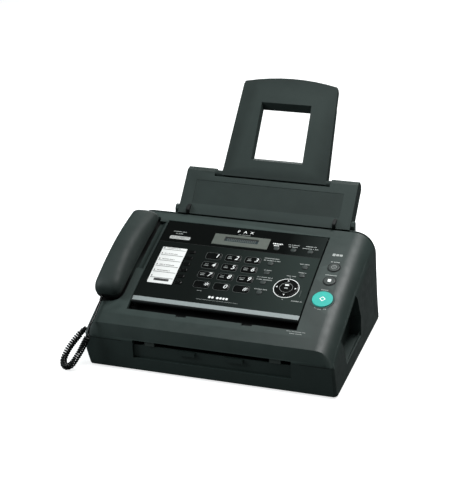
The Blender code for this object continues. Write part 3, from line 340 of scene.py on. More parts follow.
BODY = (0.0225, 0.0325, 0.0300)
MAT = {
    "housing": moulded("charcoal_housing", BODY, 0.46),
    "cover": paint_shade_in_hollows(moulded("charcoal_cover", tuple(c * 1.05 for c in BODY), 0.44)),
    "inner": moulded("black_inner", (0.006, 0.007, 0.007), 0.60, bump=0.15, specular=0.25),
    "handset": moulded("charcoal_handset", tuple(c * 0.85 for c in BODY), 0.58, bump=0.2, specular=0.30),
    "handset_dark": moulded("black_handset", (0.006, 0.007, 0.007), 0.38, bump=0.15),
    "gloss": printed_panel_with_painted_sheen("panel_film_painted_sheen"),
    "silver": lip_finish("lip_silver"),
    "bezel": smooth_finish("display_frame", (0.080, 0.092, 0.080), 0.42),
    "screen": smooth_finish("display_glass", (0.024, 0.036, 0.039), 0.18, coat=0.2),
    "card": smooth_finish("index_card", (0.76, 0.77, 0.76), 0.38, mottle=0.02),
    "key": smooth_finish("key_black", (0.0010, 0.0012, 0.0012), 0.20, specular=0.30),
    "grey_key": smooth_finish("key_grey", (0.026, 0.034, 0.032), 0.34),
    "start_key": smooth_finish("key_green", (0.002, 0.40, 0.34), 0.45),
    "green_dark": smooth_finish("ring_green", (0.001, 0.030, 0.026), 0.35),
    "white": smooth_finish("print_white", (0.80, 0.82, 0.81), 0.45, mottle=0.02),
    "pale": smooth_finish("print_pale", (0.30, 0.32, 0.31), 0.45, mottle=0.02),
    "faint": smooth_finish("print_faint", (0.06, 0.068, 0.065), 0.45, mottle=0.02),
    "ink": smooth_finish("print_ink", (0.03, 0.03, 0.03), 0.5),
    "rule": smooth_finish("print_rule", (0.12, 0.12, 0.12), 0.5),
    "label": smooth_finish("print_label", (0.42, 0.43, 0.42), 0.45, mottle=0.04),
    "cord": moulded("cord_jacket", (0.007, 0.008, 0.008), 0.26, grain=0.0012, bump=0.08, wear=0.0),
    "rubber": moulded("foot_rubber", (0.012, 0.012, 0.012), 0.75, specular=0.2),
    "roller": moulded("roller_rubber", (0.014, 0.014, 0.014), 0.62, bump=0.4),
    "engine": moulded("engine_black", (0.010, 0.010, 0.011), 0.5),
    "socket": moulded("socket_black", (0.006, 0.006, 0.006), 0.45),
    "metal": smooth_finish("contact_brass", (0.55, 0.42, 0.20), 0.3, metallic=1.0),
    "steel": smooth_finish("screw_steel", (0.10, 0.10, 0.10), 0.32, metallic=1.0),
    "support": moulded("support_grey", tuple(c * 0.70 for c in BODY), 0.62, specular=0.16),
    "tray": moulded("tray_grey", tuple(c * 0.82 for c in BODY), 0.58, specular=0.18),
    "tab": moulded("tab_grey", (0.050, 0.060, 0.056), 0.5),
}

# ---------------------------------------------------------------- mesh helpers


def finish_mesh(name, build, material, body, smooth=40.0):
    """Make the bmesh an object with a smooth-by-angle look, and let it ride on a CAD body."""
    bmesh.ops.recalc_face_normals(build, faces=build.faces)
    mesh = bpy.data.meshes.new(name)
    build.to_mesh(mesh)
    build.free()
    mesh.materials.append(MAT[material])
    mesh.shade_smooth()
    mesh.set_sharp_from_angle(angle=math.radians(smooth))
    made = bpy.data.objects.new(name, mesh)
    bpy.context.scene.collection.objects.link(made)
    if body:
        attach(made, body)
    return made


def bridge(build, first, second):
    """Join two closed rows of vertices with quads."""
    for i in range(len(first)):
        j = (i + 1) % len(first)
        build.faces.new((first[i], first[j], second[j], second[i]))


def loft(rings):
    """Closed skin through rings of points."""
    build = bmesh.new()
    rows = [[build.verts.new(point) for point in ring] for ring in rings]
    for first, second in zip(rows, rows[1:]):
        bridge(build, first, second)
    build.faces.new(rows[0][::-1])
    build.faces.new(rows[-1])
    return build


def rounded(width, depth, radius, steps=3):
    """Outline of a rectangle with rounded corners, centred on the origin."""
    points = []
    for corner, (sx, sy) in enumerate(((1, 1), (-1, 1), (-1, -1), (1, -1))):
        for step in range(steps + 1):
            turn = math.pi / 2 * (corner + step / steps)
            points.append((sx * (width / 2 - radius) + radius * math.cos(turn),
                           sy * (depth / 2 - radius) + radius * math.sin(turn)))
    return points


def circle(radius, count):
    """Outline of a circle, centred on the origin."""
    return [(radius * math.cos(math.tau * i / count), radius * math.sin(math.tau * i / count))
            for i in range(count)]


PRINT_THICKNESS = 0.00006
FILM = 0.00002


def add_plate(build, matrix, outline, thickness=PRINT_THICKNESS):
    """Add a thin flat plate of that outline to a bmesh."""
    low = [build.verts.new(matrix @ Vector((x, y, 0.0))) for x, y in outline]
    high = [build.verts.new(matrix @ Vector((x, y, thickness))) for x, y in outline]
    build.faces.new(high)
    build.faces.new(low[::-1])
    bridge(build, low, high)


def add_ring(build, matrix, inner, outer, thickness=PRINT_THICKNESS):
    """Add a flat ring between two outlines that have the same count of points."""
    rows = []
    for outline, z in ((inner, 0.0), (outer, 0.0), (outer, thickness), (inner, thickness)):
        rows.append([build.verts.new(matrix @ Vector((x, y, z))) for x, y in outline])
    for first, second in zip(rows, rows[1:] + rows[:1]):
        bridge(build, first, second)


def add_text(build, matrix, words, size, shear=0.0, bold=0.0):
    """Add a short generic legend, centred, to a bmesh."""
    curve = bpy.data.curves.new("legend", "FONT")
    curve.body = words
    curve.size = size
    curve.shear = shear
    curve.offset = bold
    curve.align_x = "CENTER"
    curve.align_y = "CENTER"
    curve.extrude = PRINT_THICKNESS / 2
    curve.resolution_u = 3
    holder = bpy.data.objects.new("legend", curve)
    bpy.context.scene.collection.objects.link(holder)
    bpy.context.view_layer.update()
    mesh = bpy.data.meshes.new_from_object(holder.evaluated_get(bpy.context.evaluated_depsgraph_get()))
    bpy.data.objects.remove(holder, do_unlink=True)
    bpy.data.curves.remove(curve)
    mesh.transform(matrix @ Matrix.Translation((0.0, 0.0, PRINT_THICKNESS / 2)))
    build.from_mesh(mesh)
    bpy.data.meshes.remove(mesh)


def add_words(build, x_low, x_high, y, height, lift, seed, frame_at=top_frame):
    """Add a run of small bars that reads as a line of print without being lettering."""
    chance = random.Random(seed)
    x = x_low
    while x < x_high - height:
        width = min(height * chance.uniform(0.55, 1.05), x_high - x)
        add_plate(build, frame_at(x + width / 2, y, lift), rounded(width, height, height * 0.2, 1))
        x += width + height * (0.30 if chance.random() < 0.80 else 0.95)


def add_rows(build, rows, lift, frame_at=top_frame):
    """Add a run of bars for each row of a table."""
    for x_low, x_high, y, height, seed in rows:
        add_words(build, x_low, x_high, y, height, lift, seed, frame_at)


# ---------------------------------------------------------------- camera, floor and lights


def direction(azimuth, elevation):
    """Unit vector towards an azimuth, 0 in front and positive to the right, and an elevation, in degrees."""
    a, e = math.radians(azimuth), math.radians(elevation)
    return Vector((math.sin(a) * math.cos(e), -math.cos(a) * math.cos(e), math.sin(e)))


def make_camera():
    """Camera at the viewing angle, rolled slightly about its axis."""
    back = direction(CAMERA_AZIMUTH, CAMERA_ELEVATION)
    right = (-back).cross(Vector((0.0, 0.0, 1.0))).normalized()
    up = back.cross(right)
    roll = math.radians(CAMERA_ROLL)
    across = right * math.cos(roll) - up * math.sin(roll)
    upward = right * math.sin(roll) + up * math.cos(roll)
    matrix = Matrix((across, upward, back)).transposed().to_4x4()
    matrix.translation = bench(*CAMERA_TARGET) + back * CAMERA_DISTANCE
    data = bpy.data.cameras.new("camera")
    data.sensor_width = 36.0
    data.lens = CAMERA_LENS
    camera = bpy.data.objects.new("camera", data)
    bpy.context.scene.collection.objects.link(camera)
    camera.matrix_world = matrix
    bpy.context.scene.camera = camera


def area_light(name, azimuth, elevation, distance, size, power, colour=(1.0, 1.0, 1.0), aim=(0.0, 0.0, 0.12)):
    """Rectangular light at a direction and distance from the point that it aims at."""
    data = bpy.data.lights.new(name, "AREA")
    data.shape = "RECTANGLE"
    data.size, data.size_y = size
    data.energy = power
    data.color = colour
    lamp = bpy.data.objects.new(name, data)
    bpy.context.scene.collection.objects.link(lamp)
    lamp.location = Vector(aim) + direction(azimuth, elevation) * distance
    lamp.rotation_euler = (Vector(aim) - lamp.location).to_track_quat("-Z", "Y").to_euler()


def show_to_camera(tree, lit, seen, output):
    """Let the camera see one shader and every other ray the other; for the floor and the surround only."""
    path = tree.nodes.new("ShaderNodeLightPath")
    pick = tree.nodes.new("ShaderNodeMixShader")
    tree.links.new(path.outputs["Is Camera Ray"], pick.inputs[0])
    tree.links.new(lit, pick.inputs[1])
    tree.links.new(seen, pick.inputs[2])
    tree.links.new(pick.outputs["Shader"], tree.nodes[output].inputs["Surface"])


def make_floor():
    """Pale floor that shows white and bounces little light back."""
    made, tree, shader = node_material("studio_floor")
    cloud = noise(tree, 1.5, 2.0)
    tree.links.new(mixed(tree, cloud, (0.11, 0.12, 0.12), (0.13, 0.14, 0.14)), shader.inputs["Base Color"])
    shader.inputs["Roughness"].default_value = 0.9
    shader.inputs["Specular IOR Level"].default_value = 0.0
    seen = tree.nodes.new("ShaderNodeBsdfDiffuse")
    seen.inputs["Color"].default_value = (0.62, 0.63, 0.63, 1.0)
    fill = tree.nodes.new("ShaderNodeEmission")
    fill.inputs["Strength"].default_value = 0.74
    both = tree.nodes.new("ShaderNodeAddShader")
    tree.links.new(seen.outputs["BSDF"], both.inputs[0])
    tree.links.new(fill.outputs["Emission"], both.inputs[1])
    show_to_camera(tree, shader.outputs["BSDF"], both.outputs["Shader"], "Material Output")
    build = bmesh.new()
    bmesh.ops.create_grid(build, x_segments=2, y_segments=2, size=9.0)
    mesh = bpy.data.meshes.new("studio_floor")
    build.to_mesh(mesh)
    build.free()
    mesh.materials.append(made)
    floor = bpy.data.objects.new("studio_floor", mesh)
    bpy.context.scene.collection.objects.link(floor)
    floor.location.z = -0.0002


def make_studio():
    """A surround that shows pale and lights dimly, and five softboxes."""
    world = bpy.data.worlds.new("studio")
    bpy.context.scene.world = world
    world.use_nodes = True
    dim = world.node_tree.nodes["Background"]
    dim.inputs["Color"].default_value = (0.85, 1.0, 0.96, 1.0)
    dim.inputs["Strength"].default_value = 0.11
    bright = world.node_tree.nodes.new("ShaderNodeBackground")
    bright.inputs["Strength"].default_value = 0.95
    show_to_camera(world.node_tree, dim.outputs["Background"], bright.outputs["Background"], "World Output")
    # Name, azimuth, elevation, distance, size and power.
    area_light("overhead", 105.0, 77.0, 1.5, (0.9, 0.6), 18.0)
    area_light("front_top", -33.0, 56.0, 2.5, (1.5, 1.0), 2.6)
    area_light("left_side", -68.0, 27.0, 2.2, (1.0, 1.0), 27.0, (0.90, 0.98, 1.0))
    area_light("rear_right", 140.0, 70.0, 0.80, (0.30, 0.30), 4.6, aim=(0.195, 0.075, 0.150))
    area_light("behind", 190.0, 16.0, 2.4, (1.2, 0.8), 14.0)
    bpy.context.scene.view_settings.view_transform = "Standard"


# ---------------------------------------------------------------- cord


def smooth_route(points, step):
    """Points about one step apart along a smooth curve through the route, in the row frame, and its length."""
    places = [bench(*point) for point in points]
    padded = [2 * places[0] - places[1]] + places + [2 * places[-1] - places[-2]]
    fine = []
    for i in range(1, len(padded) - 2):
        a, b, c, d = padded[i - 1:i + 3]
        for k in range(ROUTE_FINENESS):
            t = k / ROUTE_FINENESS
            fine.append(0.5 * (2 * b + (c - a) * t + (2 * a - 5 * b + 4 * c - d) * t * t
                               + (3 * b - a - 3 * c + d) * t ** 3))
    fine.append(places[-1])
    runs = [0.0]
    for near, far in zip(fine, fine[1:]):
        runs.append(runs[-1] + (far - near).length)
    count = max(2, round(runs[-1] / step))
    spaced, i = [], 1
    for k in range(count + 1):
        goal = runs[-1] * k / count
        while i < len(runs) - 1 and runs[i] < goal:
            i += 1
        share = (goal - runs[i - 1]) / (runs[i] - runs[i - 1])
        spaced.append(fine[i - 1].lerp(fine[i], min(1.0, share)))
    return spaced, runs[-1]


def carried_frames(points):
    """A pair of cross directions at each point, carried along without twist."""
    tangents = [(points[min(i + 1, len(points) - 1)] - points[max(i - 1, 0)]).normalized()
                for i in range(len(points))]
    side = tangents[0].orthogonal().normalized()
    frames = []
    for tangent in tangents:
        side = (side - tangent * side.dot(tangent)).normalized()
        frames.append((side, tangent.cross(side)))
    return frames


def relaxed(points, first, last, passes=16, taper=14):
    """Ease the bends between two points of a line, ever less towards the parts that are left alone."""
    for _ in range(passes):
        eased = list(points)
        for i in range(first + 1, last):
            near = min(1.0, (i - first) / taper, (last - i) / taper if last < len(points) - 1 else 1.0)
            eased[i] = points[i].lerp((points[i - 1] + points[i + 1]) / 2, 0.6 * near)
        points = eased
    return points


def cord_path():
    """The straight lead, then the coil, as one line of points."""
    lead, _ = smooth_route(LEAD_ROUTE, LEAD_STEP)
    middle, length = smooth_route(COIL_ROUTE, COIL_PITCH / TURN_POINTS)
    frames = carried_frames(middle)
    radius = COIL_RADIUS - CORD_RADIUS
    coil = []
    for i, (centre, (side, other)) in enumerate(zip(middle, frames)):
        run = length * i / (len(middle) - 1)
        grown = min(1.0, run / 0.005, (length - run) / 0.004)
        grown = grown * grown * (3 - 2 * grown)
        turn = math.tau * i / TURN_POINTS
        coil.append(centre + (side * math.cos(turn) + other * math.sin(turn)) * radius * grown)
    points = lead + coil[4:]
    points = relaxed(points, len(lead) - 10, len(lead) + 24)
    return relaxed(points, len(points) - 26, len(points) - 1)


def hoop(centre, side, other, radius, sides):
    """Circle of points round a centre, in the plane of two directions."""
    return [centre + (side * math.cos(math.tau * k / sides) + other * math.sin(math.tau * k / sides)) * radius
            for k in range(sides)]


def make_cord():
    """The handset cord, its strain relief and its plug."""
    points = cord_path()
    frames = carried_frames(points)
    rings = [hoop(point, side, other, CORD_RADIUS, 10) for point, (side, other) in zip(points, frames)]
    cord = finish_mesh("handset_cord", loft(rings), "cord", None, 60.0)
    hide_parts("handset_cord_lead", "handset_cord_coil")
    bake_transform(cord)
    back = (points[0] - points[1]).normalized()
    inward = (bench(*COIL_ROUTE[-1]) - bench(*COIL_ROUTE[-2])).normalized()
    first = make_cord_end("handset_strain_relief", points[0], back, strain_relief_profile(), "handset")
    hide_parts("handset_plug")
    last = make_cord_end("base_cord_plug", points[-1], inward, PLUG_PROFILE, "cover")
    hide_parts("base_plug")


# Turned profiles of the cord's ends: (distance along the axis, radius) pairs.
PLUG_PROFILE = [(-0.0060, 0.0022), (-0.0054, 0.0034), (-0.0038, 0.0038), (-0.0032, 0.0047), (-0.0016, 0.0048),
                (-0.0010, 0.0040), (0.0000, 0.0048), (0.0016, 0.0050), (0.0022, 0.0041), (0.0034, 0.0038),
                (0.0066, 0.0034), (0.0074, 0.0030), (0.0086, 0.0024)]


def strain_relief_profile():
    """Three ribs that grow towards the handset."""
    profile = [(-0.0010, 0.0017), (-0.0006, 0.0019)]
    for rib in range(3):
        at, grown = 0.0006 + rib * 0.0020, rib * 0.00012
        profile += [(at, 0.0021 + grown), (at + 0.0005, 0.0025 + grown),
                    (at + 0.0010, 0.0025 + grown), (at + 0.0014, 0.0021 + grown)]
    return profile + [(0.0080, 0.0027), (0.0102, 0.0027)]


def make_cord_end(name, start, axis, profile, body):
    """Turned piece on the cord's end."""
    side = axis.orthogonal().normalized()
    other = axis.cross(side)
    rings = [hoop(start + axis * run, side, other, radius, 20) for run, radius in profile]
    made = finish_mesh(name, loft(rings), "cord", body)
    return made


# ---------------------------------------------------------------- CAD nodes that keep their shape


NODE_MATERIALS = {
    "base_housing": "housing", "rear_housing": "housing", "top_cover": "cover", "operation_panel": "gloss",
    "panel_lip": "silver", "display_bezel": "bezel", "station_card": "card", "rear_tray": "tray",
    "paper_support": "support", "hook_switch": "handset_dark", "left_document_guide": "inner",
    "right_document_guide": "inner", "foot_front_left": "rubber", "foot_front_right": "rubber",
    "foot_rear_left": "rubber", "foot_rear_right": "rubber", "power_inlet": "socket", "line_jack": "socket",
    "toner_cartridge": "engine", "fuser_unit": "engine", "paper_exit_roller": "roller",
    "document_roller": "roller", "image_sensor": "screen", "start_key": "start_key", "stop_key": "grey_key",
    "copy_key": "grey_key", "navigator_key": "key",
}
SMALL_KEYS = ("monitor_key", "redial_key", "flash_key", "hold_key", "receive_mode_key", "caller_id_key",
              "quick_scan_key", "lower_key", "menu_key")
EDGE_ROUNDING = 0.0004


def soften_node(node):
    """Weld, merge flat faces and round the edges of a CAD node, for show only."""
    mesh = node.data
    if mesh.attributes.get("custom_normal"):
        mesh.attributes.remove(mesh.attributes["custom_normal"])
    mesh.polygons.foreach_set("use_smooth", [True] * len(mesh.polygons))
    weld = node.modifiers.new("weld", "WELD")
    weld.merge_threshold = 2e-6
    flat = node.modifiers.new("flat", "DECIMATE")
    flat.decimate_type = "DISSOLVE"
    flat.angle_limit = math.radians(0.6)
    bevel = node.modifiers.new("edges", "BEVEL")
    bevel.width = EDGE_ROUNDING
    bevel.segments = 2
    bevel.limit_method = "ANGLE"
    bevel.angle_limit = math.radians(26.0)
    bevel.use_clamp_overlap = True
    bevel.harden_normals = False
    normals = node.modifiers.new("normals", "WEIGHTED_NORMAL")
    normals.mode = "FACE_AREA"
    normals.weight = 60
    normals.keep_sharp = False


def dress_nodes():
    """A material and rounded edges for every CAD node; keys without an entry are black."""
    for name, node in NODES.items():
        choice = NODE_MATERIALS.get(name, "grey_key" if name in SMALL_KEYS else "key")
        node.data.materials.clear()
        node.data.materials.append(MAT[choice])
        soften_node(node)


# ---------------------------------------------------------------- handset


HANDSET_STATIONS = [i / 44 for i in range(45)]
SHELL_STEPS = 28


def handset_matrix():
    """Placement of the handset, and its length along the sloping top."""
    y0, y1 = HANDSET_Y
    tilt = math.atan((top_z(y1) - top_z(y0)) / (y1 - y0))
    turn = Matrix.Rotation(HANDSET_YAW, 4, "Z") @ Matrix.Rotation(tilt, 4, "X")
    return Matrix.Translation(bench(HANDSET_X, y0, top_z(y0))) @ turn, (y1 - y0) / math.cos(tilt)


def quarter(t):
    """Quarter-circle rise from 0 at 0 to 1 at 1, and 1 beyond."""
    return math.sqrt(max(0.0, 1 - (1 - min(1.0, t)) ** 2))


def ease(t):
    """Smooth rise from 0 at 0 to 1 at 1."""
    return 0.5 - 0.5 * math.cos(math.pi * t)


def half_width(t):
    """Half the handset's width at a share t of its length, from the front."""
    return HANDSET_WIDTH / 2 * min(0.55 + 0.45 * quarter(t / 0.10), 0.72 + 0.28 * quarter((1.0 - t) / 0.05))


def crown(t):
    """Height of the handset's arched back above the joint."""
    arch = ARCH + ARCH_RISE * math.sin(math.pi * (0.10 + 0.80 * t))
    return arch * (0.30 + 0.70 * min(quarter(t / 0.09), quarter((1 - t) / 0.06)))


def belly(t):
    """Depth of the handset's inner side below the joint, deepest at its two caps."""
    middle = min(1.0, max(0.0, (0.5 - abs(t - 0.5)) / 0.5 * 2.2 - 0.50))
    return (CAP_DEPTH - CAP_RISE * ease(middle)) * (0.45 + 0.55 * quarter(min(t, 1 - t) / 0.06))


def shell_rings(height, sign, squeeze):
    """Half-round sections along the handset, above the joint for sign 1 and below it for sign -1."""
    matrix, length = handset_matrix()
    rings = []
    for t in HANDSET_STATIONS:
        at = 0.35 * ease(t) + 0.65 * t
        half = half_width(at) * squeeze
        ring = []
        for i in range(SHELL_STEPS + 1):
            turn = math.pi * i / SHELL_STEPS
            bow_x = math.copysign(abs(math.cos(turn)) ** 0.66, math.cos(turn))
            bow_z = math.sin(turn) ** 0.80 if 0 < i < SHELL_STEPS else 0.0
            ring.append(matrix @ Vector((half * bow_x, at * length, SPLIT + sign * (0.0002 + height(at) * bow_z))))
        rings.append(ring)
    return rings


def make_handset():
    """Back shell, inner shell, and a grille on each cap."""
    back = finish_mesh("handset_back", loft(shell_rings(crown, 1.0, 1.0)), "handset", "handset", 50.0)
    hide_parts("handset_outer_shell")
    inner = finish_mesh("handset_inner", loft(shell_rings(belly, -1.0, 0.95)), "handset_dark", "handset", 50.0)
    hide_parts("handset_inner_shell")
    matrix, length = handset_matrix()
    for name, t, radius in (("mouthpiece_grille", 0.10, 0.0130), ("earpiece_grille", 0.90, 0.0150)):
        build = bmesh.new()
        place = matrix @ Matrix.Translation((0.0, t * length, SPLIT - belly(t) - 0.0001))
        turn = place @ Matrix.Rotation(math.pi, 4, "X")
        add_ring(build, turn, circle(radius * 0.90, 32), circle(radius, 32), 0.0005)
        for share, count in ((0.0, 1), (0.35, 6), (0.68, 12)):
            for x, y in circle(radius * share, count):
                add_plate(build, turn @ Matrix.Translation((x, y, 0.0)), circle(0.0010, 10), 0.0003)
        grille = finish_mesh(name, build, "pale", "handset")


# ---------------------------------------------------------------- print, rings and small parts


# Runs of bars that stand for the small print: left end, right end, place up the face, bar height and seed.
WHITE_WORDS = ((0.0460, 0.0645, 0.2238, 0.0028, 11), (0.0490, 0.0620, 0.2192, 0.0024, 12))
PALE_WORDS = (
    (-0.0205, 0.0015, 0.2365, 0.0012, 3),
    (0.0735, 0.0945, 0.2250, 0.0020, 13), (0.0755, 0.0930, 0.2202, 0.0020, 14),
    (0.1050, 0.1250, 0.2254, 0.0020, 15), (0.1000, 0.1300, 0.2200, 0.0020, 16),
    (0.0425, 0.0700, 0.1868, 0.0020, 21), (0.0425, 0.0730, 0.1818, 0.0020, 22),
    (0.0500, 0.0645, 0.1590, 0.0020, 23), (0.0430, 0.0700, 0.1424, 0.0020, 24),
    (0.0430, 0.0715, 0.1374, 0.0020, 25), (0.0455, 0.0690, 0.1158, 0.0020, 26),
    (0.1060, 0.1260, 0.1820, 0.0020, 27), (0.1095, 0.1235, 0.1622, 0.0020, 28),
    (0.0915, 0.1085, 0.1520, 0.0017, 29), (0.1140, 0.1335, 0.0995, 0.0020, 30),
    (-0.1375, -0.1105, 0.2276, 0.0019, 31), (-0.1315, -0.1150, 0.2224, 0.0019, 32),
    (-0.0495, -0.0410, 0.0975, 0.0012, 33), (-0.0455, 0.0285, 0.0800, 0.0008, 34),
)
UNDER_DIAL_WORDS = ((-0.0260, 0.0100, 0.0865, 0.0046, 37),)
LABEL_WORDS = ((-0.1370, -0.1040, 0.2135, 0.0018, 35), (-0.1370, -0.1080, 0.2105, 0.0014, 36))
COVER_WORDS = (
    (0.1560, 0.1722, 0.1966, 0.0021, 41), (0.1546, 0.1768, 0.1655, 0.0021, 42), (0.1565, 0.1722, 0.1316, 0.0021, 43),
    (0.1548, 0.1600, 0.0925, 0.0021, 44), (0.1612, 0.1690, 0.0905, 0.0021, 45), (0.1702, 0.1752, 0.0922, 0.0021, 46),
    (0.1230, 0.1560, 0.0405, 0.0014, 47), (0.1290, 0.1500, 0.0365, 0.0014, 48),
)


def make_panel_print():
    """Frames round the dial keys, plain letters, runs of bars, a label, and the ring of the navigator."""
    lift = PANEL_RISE + 0.00002
    white, faint, pale = bmesh.new(), bmesh.new(), bmesh.new()
    for row in range(4):
        for column in range(3):
            place = top_frame(DIAL_X + KEY_PITCH_X * (column - 1), DIAL_Y + KEY_PITCH_Y * row, lift)
            inner = rounded(KEY_SIZE[0] + 0.0016, KEY_SIZE[1] + 0.0026, 0.0040, 4)
            outer = rounded(KEY_SIZE[0] + 0.0026, KEY_SIZE[1] + 0.0036, 0.0045, 4)
            add_ring(faint, place, inner, outer, 0.00025)
    for k, glyph in enumerate("FAX"):
        add_text(white, top_frame(-0.0220 + 0.0120 * k, 0.2440, lift), glyph, 0.0092)
    add_rows(white, WHITE_WORDS, lift)
    add_rows(pale, PALE_WORDS, lift)
    label, faded = bmesh.new(), bmesh.new()
    add_plate(label, top_frame(-0.1205, 0.2122, lift), rounded(0.0375, 0.0082, 0.0020, 3), 0.0002)
    finish_mesh("panel_label", label, "label", "panel")
    add_rows(faded, LABEL_WORDS, lift + 0.00022)
    finish_mesh("panel_label_marks", faded, "rule", "panel")
    add_rows(white, UNDER_DIAL_WORDS, lift)
    add_ring(white, top_frame(NAV[0], NAV[1], lift), circle(0.0209, 48), circle(0.0221, 48), 0.0003)
    add_plate(pale, top_frame(NAV[0], NAV[1] + 0.0238, lift), circle(0.0009, 12))
    add_plate(pale, top_frame(NAV[0], NAV[1] - 0.0240, lift), circle(0.0009, 12))
    add_plate(faint, top_frame(NAV[0] + 0.0265, NAV[1] - 0.0080, lift), rounded(0.0006, 0.0160, 0.0002, 1))
    finish_mesh("panel_print_white", white, "white", "panel")
    finish_mesh("panel_print_pale", pale, "pale", "panel")
    finish_mesh("panel_key_frames", faint, "faint", "panel")
    gap = bmesh.new()
    middle = (PANEL_X[0] + PANEL_X[1]) / 2
    add_plate(gap, top_frame(middle, BAND_Y, PANEL_RISE + 0.00001),
              rounded(PANEL_X[1] - PANEL_X[0] - 0.0010, 0.0007, 0.0002, 1))
    finish_mesh("panel_band_line", gap, "inner", "panel")


LEGEND_ROWS = (("star", "0", "hash"), ("7", "8", "9"), ("4", "5", "6"), ("1", "2", "3"))
KEY_LETTERS = {"2": "ABC", "3": "DEF", "4": "GHI", "5": "JKL", "6": "MNO", "7": "PQRS", "8": "TUV", "9": "WXYZ"}
# Glyph, size, drop below the key's middle and boldness; a digit is its own glyph.
SIGNS = {"star": ("*", 0.0190, 0.0030, 0.0), "hash": ("#", 0.0118, 0.0, 0.0)}


def make_key_legends():
    """A glyph on each dial key, and small letters over a rule on the keys that have them."""
    lift = PANEL_RISE + KEY_RISE + PRINT_GAP
    for row, names in enumerate(LEGEND_ROWS):
        for column, name in enumerate(names):
            key = top_frame(DIAL_X + KEY_PITCH_X * (column - 1), DIAL_Y + KEY_PITCH_Y * row, lift)
            glyph, size, drop, bold = SIGNS.get(name, (name, 0.0132, 0.0, 0.00003))
            legend = bmesh.new()
            add_text(legend, key @ Matrix.Translation((0.0062, -drop, 0.0)), glyph, size, shear=0.25, bold=bold)
            finish_mesh("legend_" + name, legend, "white", "dial_key_" + name + "_body")
            if name in KEY_LETTERS:
                small = bmesh.new()
                add_text(small, key @ Matrix.Translation((-0.0058, 0.0014, 0.0)), KEY_LETTERS[name], 0.0036)
                rule = key @ Matrix.Translation((-0.0058, -0.0022, 0.0))
                add_plate(small, rule, rounded(0.0074, 0.0012, 0.0003, 1))
                finish_mesh("letters_" + name, small, "pale", "dial_key_" + name + "_body")


def make_navigator_marks():
    """Four arrows, and a ring with two bars in the middle."""
    place = top_frame(NAV[0], NAV[1], PANEL_RISE + NAV_RISE + PRINT_GAP)
    marks = bmesh.new()
    for k in range(4):
        turn = place @ Matrix.Rotation(math.pi / 2 * k, 4, "Z") @ Matrix.Translation((0.0, 0.0160, 0.0))
        add_plate(marks, turn, [(-0.0018, -0.0010), (0.0018, -0.0010), (0.0, 0.0018)])
    add_plate(marks, place @ Matrix.Translation((0.0, 0.0060, 0.0)), rounded(0.0070, 0.0032, 0.0008, 2))
    finish_mesh("navigator_marks", marks, "white", "navigator_key_body")
    centre = bmesh.new()
    add_ring(centre, place, circle(0.0108, 40), circle(0.0112, 40))
    add_plate(centre, place @ Matrix.Translation((0.0, -0.0010, 0.0)), rounded(0.0062, 0.0026, 0.0006, 2))
    finish_mesh("navigator_centre", centre, "pale", "navigator_key_body")


def make_round_key_marks():
    """Marks on the start, stop and copy keys, and a ring round each of the three: dark green round start, and black
    round stop and copy as painted shadow.
    """
    for name, (x, y, radius), rise in (("start", START, 0.0020), ("stop", STOP, 0.0016), ("copy", COPY, 0.0016)):
        place = top_frame(x, y, rise + PRINT_GAP)
        mark, ring = bmesh.new(), bmesh.new()
        if name == "start":
            add_ring(mark, place, rounded(0.0050, 0.0050, 0.0004, 1), rounded(0.0078, 0.0078, 0.0006, 1))
            mark.transform(place @ Matrix.Rotation(math.pi / 4, 4, "Z") @ place.inverted())
        elif name == "stop":
            add_ring(mark, place, circle(0.0040, 24), circle(0.0046, 24))
            add_plate(mark, place, rounded(0.0044, 0.0007, 0.0002, 1))
        else:
            add_plate(mark, place, rounded(0.0056, 0.0064, 0.0006, 1))
        finish_mesh(name + "_mark", mark, "white" if name != "stop" else "pale", name + "_key_body")
        # Painted shadow: the black ring round stop and copy; the start key's ring is its own dark green.
        inner, outer, count, material = 0.0006, 0.0014, 40, "inner"
        if name == "start":
            inner, outer, count, material = 0.0004, 0.0030, 56, "green_dark"
        add_ring(ring, top_frame(x, y, 0.00002), circle(radius + inner, count), circle(radius + outer, count), 0.0006)
        finish_mesh(name + "_surround", ring, material, "cover")


def make_small_key_shadow_rings():
    """Dark rings round the small round keys: painted shadow in the gap round each key."""
    for name in SMALL_KEYS:
        low, high = (Vector(corner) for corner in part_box(name))
        middle = (low + high) / 2
        radius = (high.x - low.x) / 2
        ring = bmesh.new()
        add_ring(ring, top_frame(middle.x - SHIFT.x, middle.y - SHIFT.y, PANEL_RISE + 0.00002),
                 circle(radius + 0.0001, 32), circle(radius + 0.0009, 32), 0.00015)
        finish_mesh(name + "_ring", ring, "inner", "panel")


def make_cover_print():
    """Three small blocks and the runs of bars on the cover itself."""
    build = bmesh.new()
    for x, tall in ((0.1568, 0.0064), (0.1630, 0.0052), (0.1692, 0.0052)):
        add_plate(build, top_frame(x, 0.2138, PRINT_GAP), rounded(0.0050, tall, 0.0005, 1))
    add_rows(build, COVER_WORDS, PRINT_GAP)
    finish_mesh("cover_print", build, "pale", "cover")


